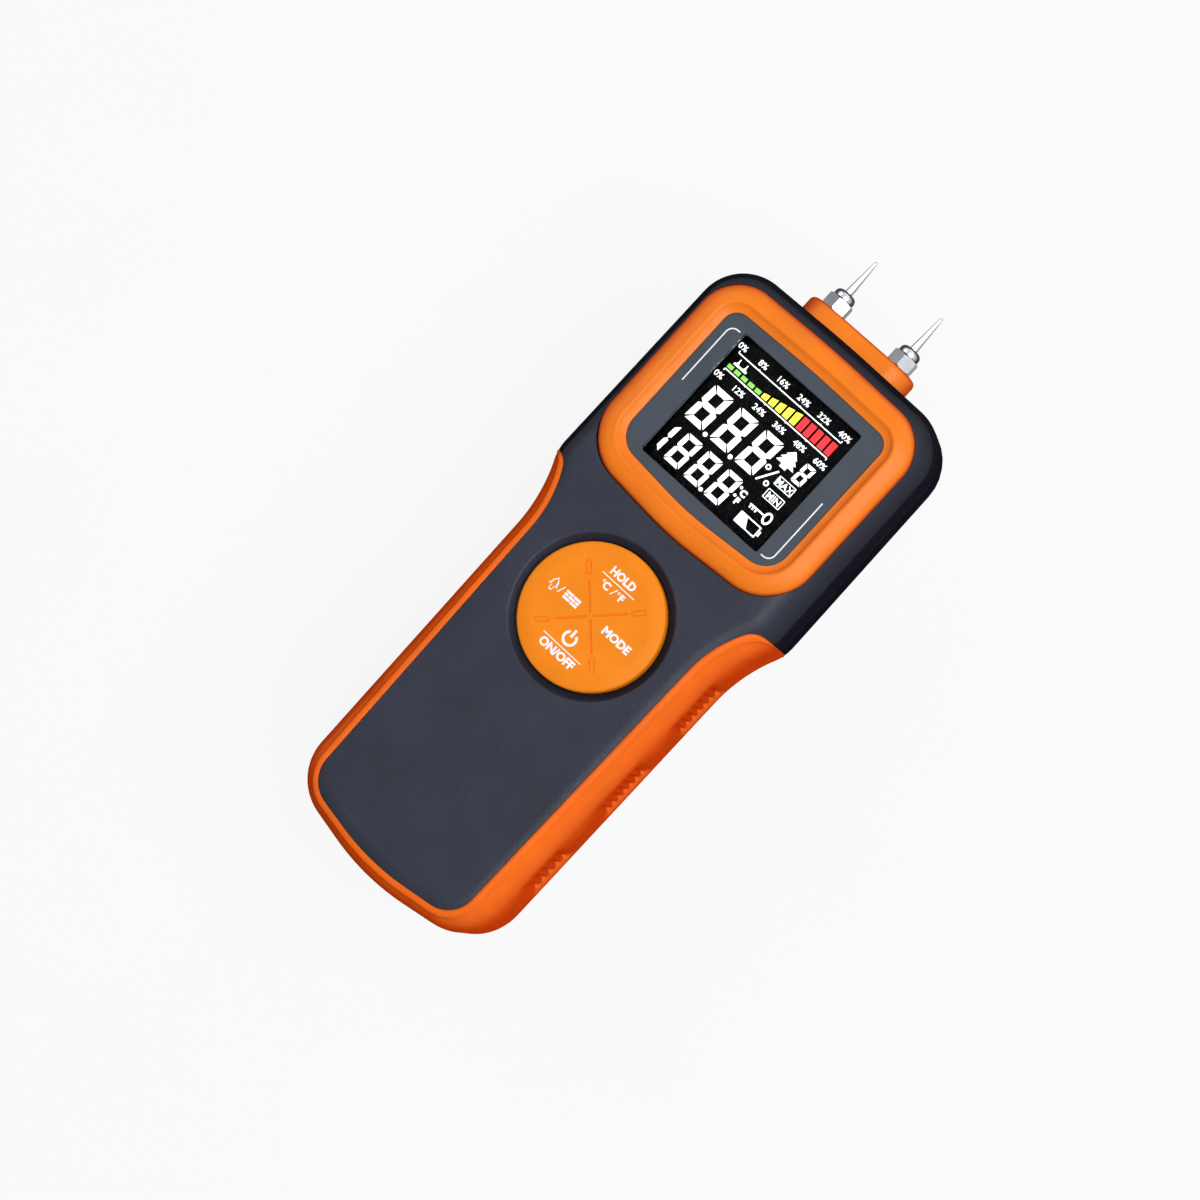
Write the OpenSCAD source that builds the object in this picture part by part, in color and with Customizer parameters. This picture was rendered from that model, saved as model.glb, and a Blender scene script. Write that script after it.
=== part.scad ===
// Two-pin moisture meter: a hand-held case with a display, a rocking key pad and two screwed electrodes.
// The meter lies on its back: X is right, Y runs to the needle tips, Z comes out of the display.
// Lengths along Y are given from the foot of the case; placed() centres the whole meter on the origin.

/* [Case] */
// Length of the case, from its foot to the shoulder under the electrode boss
body_l = 161.6; // [158:0.1:172]
// Width of the head, beside the display
head_w = 68.6; // [67:0.1:74]
// Width of the grip below the neck
grip_w = 59.2; // [58:0.1:64]
// Thickness of the case, from the back to the key plate
body_t = 31; // [30:0.1:35]
// Height of the neck, where the head starts
neck_y = 100.4; // [99:0.1:104]
// How much narrower each side of the grip is at the foot
foot_taper = 0.7; // [0:0.1:2]
// Radius of the corners at the foot
foot_r = 13; // [10:0.5:15]
// Radius of the corners of the head
head_r = 12; // [10:0.5:14]
// Width of the round along the front edges
front_round_w = 7.5; // [6:0.1:8]
// Height of the round along the front edges
front_round_h = 11; // [9:0.1:12]
// Width of the round along the back edges
back_round_w = 6; // [5:0.1:6.5]
// Height of the round along the back edges
back_round_h = 8; // [6:0.1:9]
// Wall of the two shells
wall = 2; // [1.8:0.1:2.2]

/* [Grip sleeve] */
// Thickness of the soft sleeve on the sides of the grip
sleeve_t = 2.4; // [2:0.1:2.8]
// Width of the bare plate between the edges of the sleeve
plate_w = 48.8; // [48:0.1:50]
// Number of finger recesses on each side
recess_n = 3; // [1:1:3]
// Distance between the finger recesses
recess_pitch = 25; // [20:0.5:26]
// Number of grooves in each recess
groove_n = 7; // [4:1:8]
// Distance between the grooves
groove_pitch = 2.1; // [1.7:0.1:2.4]
// Width of a groove
groove_w = 0.9; // [0.6:0.1:1.2]
// Depth of a groove
groove_d = 0.5; // [0.2:0.1:0.8]
// Height of a groove, across the side of the case
groove_h = 9; // [6:0.5:10]

/* [Display] */
// Distance from the bezel to each side of the head
bezel_side = 4; // [3.8:0.1:5]
// Distance from the neck to the bezel
bezel_foot = 2.4; // [2:0.1:4]
// Distance from the bezel to the shoulder of the case
bezel_gap = 3.7; // [3.5:0.1:5]
// How far the bezel stands above the key plate
bezel_proud = 1.5; // [1.2:0.1:2]
// Thickness of the lens
lens_t = 1.7; // [1.2:0.1:1.7]
// Width of the printed border on each side of the clear window
border_w = 6.8; // [6:0.1:9]
// Length of the printed border above and below the clear window
border_l = 4.45; // [4:0.05:6]
// How far the display glass reaches past the window on each side
lcd_lap = 3.2; // [1.5:0.1:3.6]
// Thickness of the display glass
lcd_t = 2.2; // [1.6:0.1:2.3]

/* [Key pad] */
// Diameter of the key pad
pad_d = 34; // [32:0.5:34.5]
// Running gap round the key pad
pad_gap = 0.35; // [0.3:0.05:0.5]
// How far the key pad stands above the plate
pad_proud = 1.3; // [1:0.1:1.5]
// Width of the dished ring round the key pad
dish_w = 1.85; // [1.2:0.05:2]
// Diameter of the pivots that the pad tilts on
pivot_d = 1.3; // [1:0.1:1.4]

/* [Electrodes] */
// Distance between the two needles
pin_pitch = 20; // [18:0.1:20.5]
// Width of the boss that carries the electrodes
boss_w = 31.4; // [30:0.1:33]
// Thickness of the boss
boss_t = 13; // [11.5:0.1:13.5]
// Height of the boss above the shoulder of the case
boss_h = 3.9; // [3:0.1:6]
// Outer diameter of the brass sockets
socket_d = 5.5; // [5:0.1:6]
// Diameter of the studs that the nuts screw on
stud_d = 4; // [3.5:0.1:4.2]
// Width of a nut across its flats
nut_af = 6; // [6:0.1:7]
// Length of a nut
nut_l = 5.5; // [5:0.1:7]
// Diameter of a needle
needle_d = 1.8; // [1.4:0.1:2]
// Length of a needle outside its nut
needle_l = 9.6; // [6:0.1:20]

/* [Battery] */
// Diameter of a cell
cell_d = 10.5; // [10:0.1:10.8]
// Length of a cell
cell_l = 44.5; // [43.5:0.1:45]
// Distance between the cells
cell_pitch = 11.2; // [11:0.1:11.6]
// Length of a contact spring under load
spring_l = 5.5; // [4.5:0.1:6]
// Thickness of the battery door
door_t = 1.7; // [1.4:0.1:1.8]
// Gap round the battery door
door_gap = 0.25; // [0.2:0.05:0.4]

/* [Electronics and fasteners] */
// Thickness of the circuit board
pcb_t = 1.6; // [1:0.1:1.8]
// Diameter of the case screws
screw_d = 3; // [2.5:0.1:3]
// Diameter of the heads of the case screws
screw_head_d = 5.6; // [5:0.1:5.8]
// Diameter of the circuit board screws
pcb_screw_d = 2; // [1.6:0.1:2.2]
// Clearance round pieces that seat in a pocket
seat_gap = 0.1; // [0.05:0.05:0.15]
// Clearance round pieces that turn or slide
run_gap = 0.05; // [0.04:0.01:0.08]

/* [Hidden] */
$fn = 48;
eps = 0.01;

// Lengths that follow from the driving sizes, along Y
split_z = body_t / 2;
boss_top = body_l + boss_h;
nut_top = boss_top + nut_l;
total_l = nut_top + needle_l;
bezel_w = head_w - 2 * bezel_side;
bezel_l = body_l - bezel_gap - neck_y - bezel_foot;
lens_inset = 5.75;
window_w = bezel_w - 2 * lens_inset - 2 * border_w;
window_l = bezel_l - 2 * lens_inset - 2 * border_l;
lcd_w = window_w + 2 * lcd_lap;
lcd_l = window_l + 2 * lcd_lap;
display_y = body_l - bezel_gap - bezel_l / 2;
pad_y = neck_y - 22.6;
foot_slope = 10.5;
top_slope = 1.2;
foot_crown_r = 60;
top_crown_r = 300;

// Heights above the back, along Z
core_top = body_t - 4.5;
core_bottom = 3.6;
plate_ceiling = body_t - wall - 0.2;
seat_z = body_t - wall;
head_ceiling = seat_z - wall;
pcb_top = head_ceiling - 3.8;
pcb_bottom = pcb_top - pcb_t;
mask_t = 0.2;
mask_top = seat_z + mask_t;
lens_top = mask_top + lens_t;
bezel_top = body_t + bezel_proud;
wall_inset = sleeve_t + wall;
neck_rib = 2.4;

// Key pad
pad_r = pad_d / 2;
pad_top = body_t + pad_proud;
skirt_bottom = body_t - 2.8;
skirt_t = 1.4;
dish_h = 1.6;
pad_web = body_t - 1.1;
pivot_z = body_t - 5;
gimbal_r = pad_r - 3.6;
gimbal_w = 1.8;
gimbal_h = 2;
ear_in = gimbal_r + 0.15;
ear_out = ear_in + 1.8;
ear_h = 2.5;
ear_w = 5;
arm_post_in = pad_r + pad_gap + 0.45;
arm_post_out = arm_post_in + 2.2;
switch_w = 6;
switch_gap = 1.2;
switch_r = gimbal_r - gimbal_w - switch_gap - switch_w / 2;
switch_h = 3.5;
plunger_d = 3.4;
plunger_top_z = pcb_top + 5;
plunger_bottom_z = pcb_top + 2.2;
plunger_travel = 0.25;

// Electrodes
flange_w = boss_w + 3.6;
flange_t = 2.5;
flange_h = boss_t + 3;
flange_y = body_l - 6.2;
socket_y = body_l - 11.6;
collar_d = 3;
collar_t = 0.7;
tip_r = 0.33;
stud_top = boss_top + 2.5;
collar_y = stud_top + run_gap;
nut_bore_l = collar_y + collar_t + run_gap - boss_top;
dome_d = nut_af - 0.8;
hex_l = nut_l - 2.6;
bulkhead_y = flange_y - 2.2;

// Battery bay and door
bay_w = 2 * cell_pitch + cell_d + 1.9;
bay_y = 17.6;
plate_t = 0.4;
bay_l = cell_l + spring_l + 3 * plate_t;
bay_floor = 2;
bay_top = bay_floor + cell_d + 0.9;
cell_z = (bay_floor + bay_top) / 2 + 0.2;
block_w = bay_w + 8;
block_y = bay_y - 3.4;
block_l = bay_l + 6.4;
block_top = bay_top + 1.5;
door_w = bay_w + 4.2;
door_y = bay_y - 1.8;
door_l = bay_l + 4.3;
door_z = bay_floor - door_t;
hinge_y = door_y + door_t / 2;
hinge_z = door_z + door_t / 2;
tab_x = 10;
tab_w = 5;
scoop_y = door_y + door_l + 2.2;

// Fasteners: places in X and Y
boss_r = screw_head_d / 2 + 0.5;
counterbore_z = 7;
head_t = 2.2;
screw_top = body_t - 8;
case_screw_places = [for (s = [-1, 1])
    each [[s * (head_w / 2 - 7.5), body_l - 10.1], [s * (grip_w / 2 - 12.1), 11.6]]];
post_r = pcb_screw_d / 2 + 1.4;
pcb_y = 16.5;
pcb_grip_w = grip_w - 2 * wall_inset - 5.4;
pcb_head_w = head_w - 2 * wall_inset - 4.8;
post_places = [for (s = [-1, 1], y = [pcb_y + 7.5, neck_y - 5.4]) [s * (pcb_grip_w / 2 - 3), y]];

slate = [0.19, 0.21, 0.25];
black = [0.09, 0.09, 0.11];
orange = [0.95, 0.45, 0.1];
steel = [0.8, 0.8, 0.82];
brass = [0.85, 0.68, 0.3];
board_green = [0.1, 0.4, 0.2];

// ---------- Outlines ----------

function unit(v) = v / norm(v);
function flip(p) = [-p[0], p[1]];
function xy(v) = [v[0], v[1]];

// Points of the arc of radius r that rounds the corner at b, on the way from a to c
function round_corner(a, b, c, r, steps) =
    let (u = unit(a - b), v = unit(c - b),
         half = acos(u * v) / 2,
         middle = b + unit(u + v) * r / sin(half),
         start = b + u * r / tan(half) - middle,
         from = atan2(start[1], start[0]),
         sweep = (u[0] * v[1] - u[1] * v[0] < 0 ? 1 : -1) * (180 - 2 * half))
    [for (i = [0:steps]) let (t = from + sweep * i / steps) middle + r * [cos(t), sin(t)]];

// Right half of an outline, foot to top, from corners given as [x, y, radius, steps]
function half_outline(v) =
    let (n = len(v))
    [for (i = [0:n - 1])
        let (a = i == 0 ? flip(xy(v[1])) : xy(v[i - 1]),
             c = i == n - 1 ? flip(xy(v[n - 2])) : xy(v[i + 1]),
             arc = v[i][2] > 0 ? round_corner(a, xy(v[i]), c, v[i][2], v[i][3]) : [xy(v[i])])
        for (p = arc) if (p[0] > eps) p];

// Whole outline: the right half, then its mirror image from the top down
function outline(v) =
    let (h = half_outline(v), n = len(h))
    concat(h, [for (i = [n - 1:-1:0]) flip(h[i])]);

// The outline moved inwards by d
function inset(ring, d) =
    let (n = len(ring))
    [for (i = [0:n - 1])
        let (t = unit(ring[(i + 1) % n] - ring[(i + n - 1) % n]))
        ring[i] - d * [t[1], -t[0]]];

// How far the arc of radius r stays short of its corner on the centre line
function crown(r, slope) = r * (1 / cos(slope) - 1);

// The flare from the grip to the head keeps its slope, and its rounds grow with its width
body_ring = let (
        gw = grip_w / 2, hw = head_w / 2, flare = hw - gw, foot = -crown(foot_crown_r, foot_slope),
        top = body_l + crown(top_crown_r, top_slope))
    outline([[0, foot, foot_crown_r, 5],
             [gw - foot_taper, foot + (gw - foot_taper) * tan(foot_slope), foot_r, 9],
             [gw, neck_y - 2.23 * flare, 8.5 * flare, 4],
             [hw, neck_y, 2.55 * flare, 3],
             [hw - 0.6, top - hw * tan(top_slope), head_r, 8],
             [0, top, top_crown_r, 5]]);

plate_ring = let (pw = plate_w / 2, lip = head_w / 2 - 4.8, flare = lip - pw)
    outline([[0, 3.7, foot_crown_r, 5],
             [pw - 1.4, 7.4, 7.5, 8],
             [pw, neck_y - 0.1 - 1.82 * flare, 5.9 * flare, 4],
             [lip, neck_y - 0.1, flare, 3],
             [head_w, neck_y + 1.6, 0, 0],
             [head_w, body_l + 10, 0, 0]]);

bezel_ring = let (
        hw = bezel_w / 2, slope = 4.5, top_tilt = 1.5,
        low = display_y - bezel_l / 2 - crown(90, slope),
        high = display_y + bezel_l / 2 + crown(300, top_tilt))
    outline([[0, low, 90, 5],
             [hw, low + hw * tan(slope), 13, 9],
             [hw, high - hw * tan(top_tilt), 10.5, 8],
             [0, high, 300, 5]]);

// Edges of the case as [inset, height]: a quarter of an ellipse at the front and at the back
front_edge = [for (t = [0:15:90]) [front_round_w * (1 - cos(t)), body_t - front_round_h * (1 - sin(t))]];
back_edge = [for (t = [90:-18:0]) [back_round_w * (1 - cos(t)), back_round_h * (1 - sin(t))]];

// ---------- Shared shapes ----------

module placed() translate([0, -total_l / 2, 0]) children();

// Solid through copies of a ring, each moved in by s[0] and lifted to s[1]
module skin(ring, sections) {
    n = len(ring);
    last = (len(sections) - 1) * n;
    points = [for (s = sections, p = inset(ring, s[0])) [p[0], p[1], s[1]]];
    sides = [for (k = [0:n:last - n], i = [0:n - 1]) let (j = (i + 1) % n)
        each [[k + i, k + n + i, k + n + j], [k + i, k + n + j, k + j]]];
    bottom = [for (i = [0:n / 2 - 2]) [i, i + 1, n - 2 - i, n - 1 - i]];
    top = [for (i = [0:n / 2 - 2]) [last + i, last + n - 1 - i, last + n - 2 - i, last + i + 1]];
    polyhedron(points, concat(sides, bottom, top), convexity = 6);
}

// Closed frame that carries the section [inset, height] once round a ring
module frame_loop(ring, section) {
    n = len(ring);
    m = len(section);
    points = [for (s = section, p = inset(ring, s[0])) [p[0], p[1], s[1]]];
    faces = [for (k = [0:m - 1], i = [0:n - 1]) let (j = (i + 1) % n, a = k * n, b = ((k + 1) % m) * n)
        each [[a + i, b + i, b + j], [a + i, b + j, a + j]]];
    polyhedron(points, faces, convexity = 6);
}

// Tube of radius r along a list of points
module tube(path, r, sides, ref) {
    n = len(path);
    points = [for (k = [0:n - 1])
        let (t = unit(path[min(k + 1, n - 1)] - path[max(k - 1, 0)]),
             u = unit(cross(t, ref)), v = cross(t, u))
        for (i = [0:sides - 1]) let (a = 360 * i / sides) path[k] + r * (cos(a) * u + sin(a) * v)];
    walls = [for (k = [0:n - 2], i = [0:sides - 1]) let (j = (i + 1) % sides, a = k * sides, b = a + sides)
        each [[a + i, b + i, b + j], [a + i, b + j, a + j]]];
    start = [[for (i = [0:sides - 1]) i]];
    end = [[for (i = [sides - 1:-1:0]) (n - 1) * sides + i]];
    polyhedron(points, concat(walls, start, end), convexity = 6);
}

// Point on a smooth curve between two ends, each with its own direction
function bend(p0, d0, p1, d1, t) =
    (1 - t) ^ 3 * p0 + 3 * (1 - t) ^ 2 * t * (p0 + d0) + 3 * (1 - t) * t ^ 2 * (p1 - d1) + t ^ 3 * p1;

module prism(z0, z1) translate([0, 0, z0]) linear_extrude(z1 - z0) children();
module body_area(d) polygon(inset(body_ring, d));
module plate_area(d) polygon(inset(plate_ring, d));
module bezel_area(d) polygon(inset(bezel_ring, d));
module band(y0, y1) translate([-head_w, y0]) square([2 * head_w, y1 - y0]);
module block(w, l, z0, z1) translate([-w / 2, 0, z0]) cube([w, l, z1 - z0]);

// Turns a shape that stands on Z so that it stands on Y, at the height of the electrodes
module along_y(y, x = 0) translate([x, y, split_z]) rotate([-90, 0, 0]) children();

module obround(w, t) {
    square([w - t, t], center = true);
    for (s = [-1, 1]) translate([s * (w - t) / 2, 0]) circle(d = t);
}

module at_case_screws() for (p = case_screw_places) translate(p) children();
module at_posts() for (p = post_places) translate(p) children();
module at_switches() for (a = [0:90:270]) translate([0, pad_y, 0]) rotate(a) translate([switch_r, 0, 0])
    rotate(-a) children();

// ---------- Case ----------

// Hollow of the case, between the two heights
module hollow(z0, z1) {
    prism(max(z0, core_bottom + wall), min(z1, core_top - wall)) body_area(wall_inset);
    prism(max(z0, wall + 0.2), min(z1, head_ceiling))
        intersection() { body_area(wall_inset); band(neck_y + 1, body_l); }
    prism(max(z0, back_round_h), min(z1, body_t - front_round_h))
        intersection() { body_area(wall + 0.4); band(neck_y + 3.6, flange_y); }
}

// Wall that stiffens the top of the case and traps the flange of the electrode head
module bulkhead(z0, z1) difference() {
    translate([0, bulkhead_y, 0]) block(flange_w + 5, body_l - bulkhead_y - wall_inset + 0.5, z0, z1);
    translate([0, bulkhead_y - eps, 0]) block(boss_w, 2.3, split_z - boss_t / 2, split_z + boss_t / 2);
}

module electrode_cuts() {
    along_y(flange_y - seat_gap) linear_extrude(flange_t + 2 * seat_gap)
        square([flange_w + 2 * seat_gap, flange_h + 2 * seat_gap], center = true);
    along_y(flange_y) linear_extrude(20) obround(boss_w + 2 * seat_gap, boss_t + 2 * seat_gap);
}

module front_shell() color(slate) placed() difference() {
    union() {
        difference() {
            union() {
                intersection() {
                    skin(body_ring, concat([[0, split_z]], front_edge));
                    prism(split_z, body_t + 1) plate_area(0);
                }
                prism(split_z, core_top) body_area(sleeve_t);
            }
            hollow(split_z - 1, body_t);
            prism(core_top - wall - eps, plate_ceiling) intersection() {
                plate_area(wall + 0.2);
                body_area(front_round_w);
                band(0, neck_y - neck_rib);
            }
        }
        bulkhead(split_z, head_ceiling + eps);
        for (p = case_screw_places) translate(p)
            translate([0, 0, split_z]) cylinder(r = boss_r, h = (p[1] > neck_y ? head_ceiling : plate_ceiling)
                - split_z + eps);
        at_posts() translate([0, 0, pcb_top]) cylinder(r = post_r, h = plate_ceiling - pcb_top + eps);
        for (s = [0, 1]) translate([0, pad_y, 0]) mirror([s, 0, 0]) pad_arm();
    }
    electrode_cuts();
    at_case_screws() translate([0, 0, split_z - 1])
        cylinder(d = screw_d + 2 * run_gap, h = screw_top + 2 - split_z);
    at_posts() translate([0, 0, pcb_top - 1]) cylinder(d = pcb_screw_d + 2 * run_gap, h = 5.2);
    prism(seat_z, body_t + 1) bezel_area(-seat_gap);
    centred(window_w + 2, window_l + 2, head_ceiling - 1, body_t);
    translate([0, pad_y, 0]) {
        translate([0, 0, skirt_bottom]) cylinder(r = pad_r + pad_gap, h = 5);
        translate([0, 0, body_t - dish_h]) cylinder(r1 = pad_r + pad_gap, r2 = pad_r + pad_gap + dish_w + eps,
            h = dish_h + eps);
        rotate([0, 90, 0]) translate([-pivot_z, 0, -ear_out - 0.2])
            cylinder(d = pivot_d + 2 * run_gap, h = 2 * ear_out + 0.4);
    }
}

// Hanger under the plate that holds one pivot of the pad's ring
module pad_arm() {
    translate([ear_in, -ear_w / 2, pivot_z - ear_h / 2])
        cube([arm_post_out - ear_in, ear_w, ear_h]);
    translate([arm_post_in, -ear_w / 2, pivot_z - ear_h / 2])
        cube([arm_post_out - arm_post_in, ear_w, plate_ceiling - pivot_z + ear_h / 2 + eps]);
}

module back_shell() color(slate) placed() difference() {
    union() {
        difference() {
            union() {
                intersection() {
                    skin(body_ring, concat(back_edge, [[0, split_z]]));
                    prism(-1, split_z) plate_area(0);
                }
                prism(core_bottom, split_z) body_area(sleeve_t);
            }
            hollow(0, split_z + 1);
            prism(wall, core_bottom + wall + eps) intersection() {
                plate_area(wall + 0.2);
                body_area(back_round_w);
                band(0, neck_y - neck_rib);
            }
        }
        bulkhead(wall + 0.1, split_z);
        translate([0, block_y, 0]) block(block_w, block_l, 0, block_top);
        translate([0, scoop_y - 3, 0]) block(20, 9, 0, wall + 1.4);
        at_case_screws() translate([0, 0, wall]) cylinder(r = boss_r, h = split_z - wall);
    }
    electrode_cuts();
    at_case_screws() {
        translate([0, 0, -1]) cylinder(d = screw_head_d + 0.6, h = counterbore_z + 1);
        cylinder(d = screw_d + 0.2, h = split_z + 1);
    }
    translate([0, bay_y, 0]) block(bay_w, bay_l, bay_floor, bay_top);
    translate([0, door_y - door_gap, 0])
        block(door_w + 2 * door_gap, door_l + 2 * door_gap, -1, bay_floor + 0.1);
    for (s = [-1, 1]) translate([s * tab_x, door_y - 2.3, 0])
        block(tab_w + 0.6, 4.2, bay_floor, bay_floor + 2.6);
    translate([-8, scoop_y, -4]) rotate([0, 90, 0]) cylinder(r = 5.4, h = 16);
    for (p = [black_start, red_start]) translate([p[0], p[1], bay_top - 1]) cylinder(d = 2.4, h = 4);
    label_recess();
}

module label_recess() translate([0, display_y - 15, -1]) block(40, 26, 0, 1.4);

// Distance of the side of the grip from the centre line at height y
function side_x(y) = grip_w / 2 - foot_taper * (neck_y - 10.5 - y) / (neck_y - 14.8);

module grip_sleeve() color(orange) placed() difference() {
    skin(body_ring, concat(back_edge, front_edge));
    prism(-1, body_t + 1) plate_area(0);
    prism(core_bottom, core_top) body_area(sleeve_t);
    for (k = [0:recess_n - 1], i = [0:groove_n - 1], s = [-1, 1]) {
        y = pad_y + 0.2 - k * recess_pitch + (i - (groove_n - 1) / 2) * groove_pitch;
        translate([s * (side_x(y) - groove_d + 2) - 2, y - groove_w / 2, split_z - groove_h / 2])
            cube([4, groove_w, groove_h]);
    }
}

module case_screws() color(steel) placed() at_case_screws() {
    difference() {
        translate([0, 0, counterbore_z - head_t]) cylinder(d = screw_head_d, h = head_t);
        for (a = [0, 90]) rotate(a) translate([-1.6, -0.35, counterbore_z - head_t - 1])
            cube([3.2, 0.7, 2.2]);
    }
    translate([0, 0, counterbore_z]) cylinder(d = screw_d, h = screw_top - counterbore_z);
}

module blank_label() color([0.75, 0.75, 0.76]) placed()
    translate([0, display_y - 15 + seat_gap, 0]) block(40 - 2 * seat_gap, 26 - 2 * seat_gap, 0.1, 0.4);

// ---------- Display ----------

bezel_section = [[0, seat_z], [0, seat_z + 0.9], [1, bezel_top - 1.3], [2.6, bezel_top - 0.3],
                 [4.2, bezel_top], [5.4, bezel_top - 0.4],
                 [lens_inset + 1, lens_top + 0.45], [lens_inset + 1, lens_top + 0.15],
                 [lens_inset - seat_gap, lens_top + 0.15], [lens_inset - seat_gap, seat_z]];

module display_bezel() color(orange) placed() frame_loop(bezel_ring, bezel_section);

module display_lens() color([0.35, 0.38, 0.42]) placed() prism(mask_top, lens_top) bezel_area(lens_inset);

module lens_mask() color(black) placed() difference() {
    prism(seat_z, mask_top) bezel_area(lens_inset);
    translate([0, display_y - window_l / 2, 0]) block(window_w, window_l, seat_z - 1, mask_top + 1);
}

module centred(w, l, z0, z1) translate([0, display_y - l / 2, 0]) block(w, l, z0, z1);

module lcd_panel() color([0.25, 0.3, 0.28]) placed()
    centred(lcd_w, lcd_l, head_ceiling - 0.2 - lcd_t, head_ceiling - 0.2);

module lcd_holder() color([0.9, 0.9, 0.9]) placed() difference() {
    centred(lcd_w + 4.4, lcd_l + 4.4, pcb_top, head_ceiling - seat_gap);
    centred(lcd_w + 4 * seat_gap, lcd_l + 4 * seat_gap, pcb_top - 1, head_ceiling + 1);
}

module backlight() color([0.95, 0.95, 0.9]) placed()
    centred(lcd_w, lcd_l - 5, pcb_top, head_ceiling - 0.2 - lcd_t - seat_gap);

module lcd_connectors() color([0.85, 0.4, 0.5]) placed() for (s = [-1, 1])
    translate([0, s * (lcd_l / 2 - 1), 0])
        centred(lcd_w - 4, 2 - seat_gap, pcb_top, head_ceiling - 0.2 - lcd_t);

// ---------- Electronics ----------

module main_pcb() color(board_green) placed() difference() {
    union() {
        translate([0, pcb_y, 0]) block(pcb_grip_w, neck_y - pcb_y, pcb_bottom, pcb_top);
        translate([0, neck_y - 1, 0]) block(pcb_head_w, body_l - 13.6 - neck_y + 1, pcb_bottom, pcb_top);
    }
    at_posts() translate([0, 0, pcb_bottom - 1]) cylinder(d = pcb_screw_d + 2 * run_gap, h = pcb_t + 2);
}

module pcb_screws() color(steel) placed() at_posts() {
    translate([0, 0, pcb_bottom]) cylinder(d = pcb_screw_d, h = pcb_t + 3.5);
    difference() {
        translate([0, 0, pcb_bottom - 1.5]) cylinder(d = 1.9 * pcb_screw_d, h = 1.5);
        for (a = [0, 90]) rotate(a) translate([-1.1, -0.25, pcb_bottom - 2]) cube([2.2, 0.5, 1.2]);
    }
}

module chip(x, y, w, l, h) translate([x - w / 2, y - l / 2, pcb_bottom - h]) cube([w, l, h]);

module pcb_components() color(black) placed() {
    chip(0, pad_y + 4, 12, 12, 1.6);
    chip(-14, neck_y + 14, 8, 5, 1.5);
    chip(14, neck_y + 14, 8, 5, 1.5);
    chip(0, neck_y + 30, 10, 6, 1.8);
    for (s = [-1, 1], k = [0:3]) chip(s * 12, pad_y - 8 + 6 * k, 3.2, 1.6, 1.2);
    translate([-14, 32, pcb_top]) cylinder(d = 6.3, h = 4);
}

module buzzer() color(black) placed() translate([12, 45, pcb_top]) difference() {
    cylinder(d = 12, h = 4.5);
    translate([0, 0, 3.5]) cylinder(d = 2, h = 2);
}

module switch_bodies() color(steel) placed() at_switches() difference() {
    translate([-switch_w / 2, -switch_w / 2, pcb_top]) cube([switch_w, switch_w, switch_h]);
    translate([0, 0, plunger_bottom_z - plunger_travel - 0.15]) cylinder(d = plunger_d + 2 * run_gap, h = 4);
}

module plunger(x, y) color(black) placed() translate([x, pad_y + y, plunger_bottom_z])
    cylinder(d = plunger_d, h = plunger_top_z - plunger_bottom_z);
module plunger_top() plunger(0, switch_r);
module plunger_right() plunger(switch_r, 0);
module plunger_bottom() plunger(0, -switch_r);
module plunger_left() plunger(-switch_r, 0);

// ---------- Key pad ----------

pip_d = 3;
pip_gap = 0.4;

module pad_cap() color(orange) placed() translate([0, pad_y, 0]) difference() {
    union() {
        rotate_extrude() polygon([[0, pad_web], [pad_r - skirt_t, pad_web], [pad_r - skirt_t, skirt_bottom],
            [pad_r, skirt_bottom], [pad_r, pad_top - 1], [pad_r - 0.25, pad_top - 0.6],
            [pad_r - 0.8, pad_top - 0.35], [pad_r - 2.5, pad_top], [0, pad_top]]);
        at_pad_switches() translate([0, 0, plunger_top_z + pip_gap])
            cylinder(d = pip_d, h = pad_web - plunger_top_z);
        for (s = [0, 1]) mirror([0, s, 0]) translate([-ear_w / 2, ear_in, pivot_z - ear_h / 2])
            cube([ear_w, ear_out - ear_in, pad_web - pivot_z + ear_h / 2 + eps]);
    }
    translate([0, -ear_out - 1, pivot_z]) rotate([-90, 0, 0])
        cylinder(d = pivot_d + 2 * run_gap, h = 2 * ear_out + 2);
    for (a = [45, 135]) rotate(a) {
        translate([-8, -0.3, pad_top - 0.4]) cube([16, 0.6, 1]);
        for (s = [-1, 1]) translate([s * 11.1 - 1.7, -0.6, pad_top - 0.4]) cube([3.4, 1.2, 1]);
    }
}

module at_pad_switches() for (a = [0:90:270]) rotate(a) translate([switch_r, 0, 0]) children();

module pad_gimbal() color(steel) placed() translate([0, pad_y, 0]) {
    difference() {
        translate([0, 0, pivot_z - gimbal_h / 2]) cylinder(r = gimbal_r, h = gimbal_h);
        translate([0, 0, pivot_z - gimbal_h]) cylinder(r = gimbal_r - gimbal_w, h = 2 * gimbal_h);
    }
    for (a = [0:90:270]) rotate(a) translate([gimbal_r - 0.8, 0, pivot_z]) rotate([0, 90, 0])
        cylinder(d = pivot_d, h = ear_out - gimbal_r + 0.7);
}

// ---------- Electrodes ----------

module electrode_head() color(orange) placed() difference() {
    union() {
        along_y(flange_y - 2) linear_extrude(2) obround(boss_w - 2.4, boss_t - 2);
        along_y(flange_y) linear_extrude(flange_t) square([flange_w, flange_h], center = true);
        along_y(flange_y) linear_extrude(boss_top - 1 - flange_y) obround(boss_w, boss_t);
        hull() {
            along_y(boss_top - 1 - eps) linear_extrude(eps, $fn = 32) obround(boss_w, boss_t);
            along_y(boss_top - 0.3) linear_extrude(0.3, $fn = 32) obround(boss_w - 1.6, boss_t - 1.6);
        }
    }
    for (s = [-1, 1]) along_y(flange_y - 5, s * pin_pitch / 2) cylinder(d = socket_d, h = 20);
}

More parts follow.
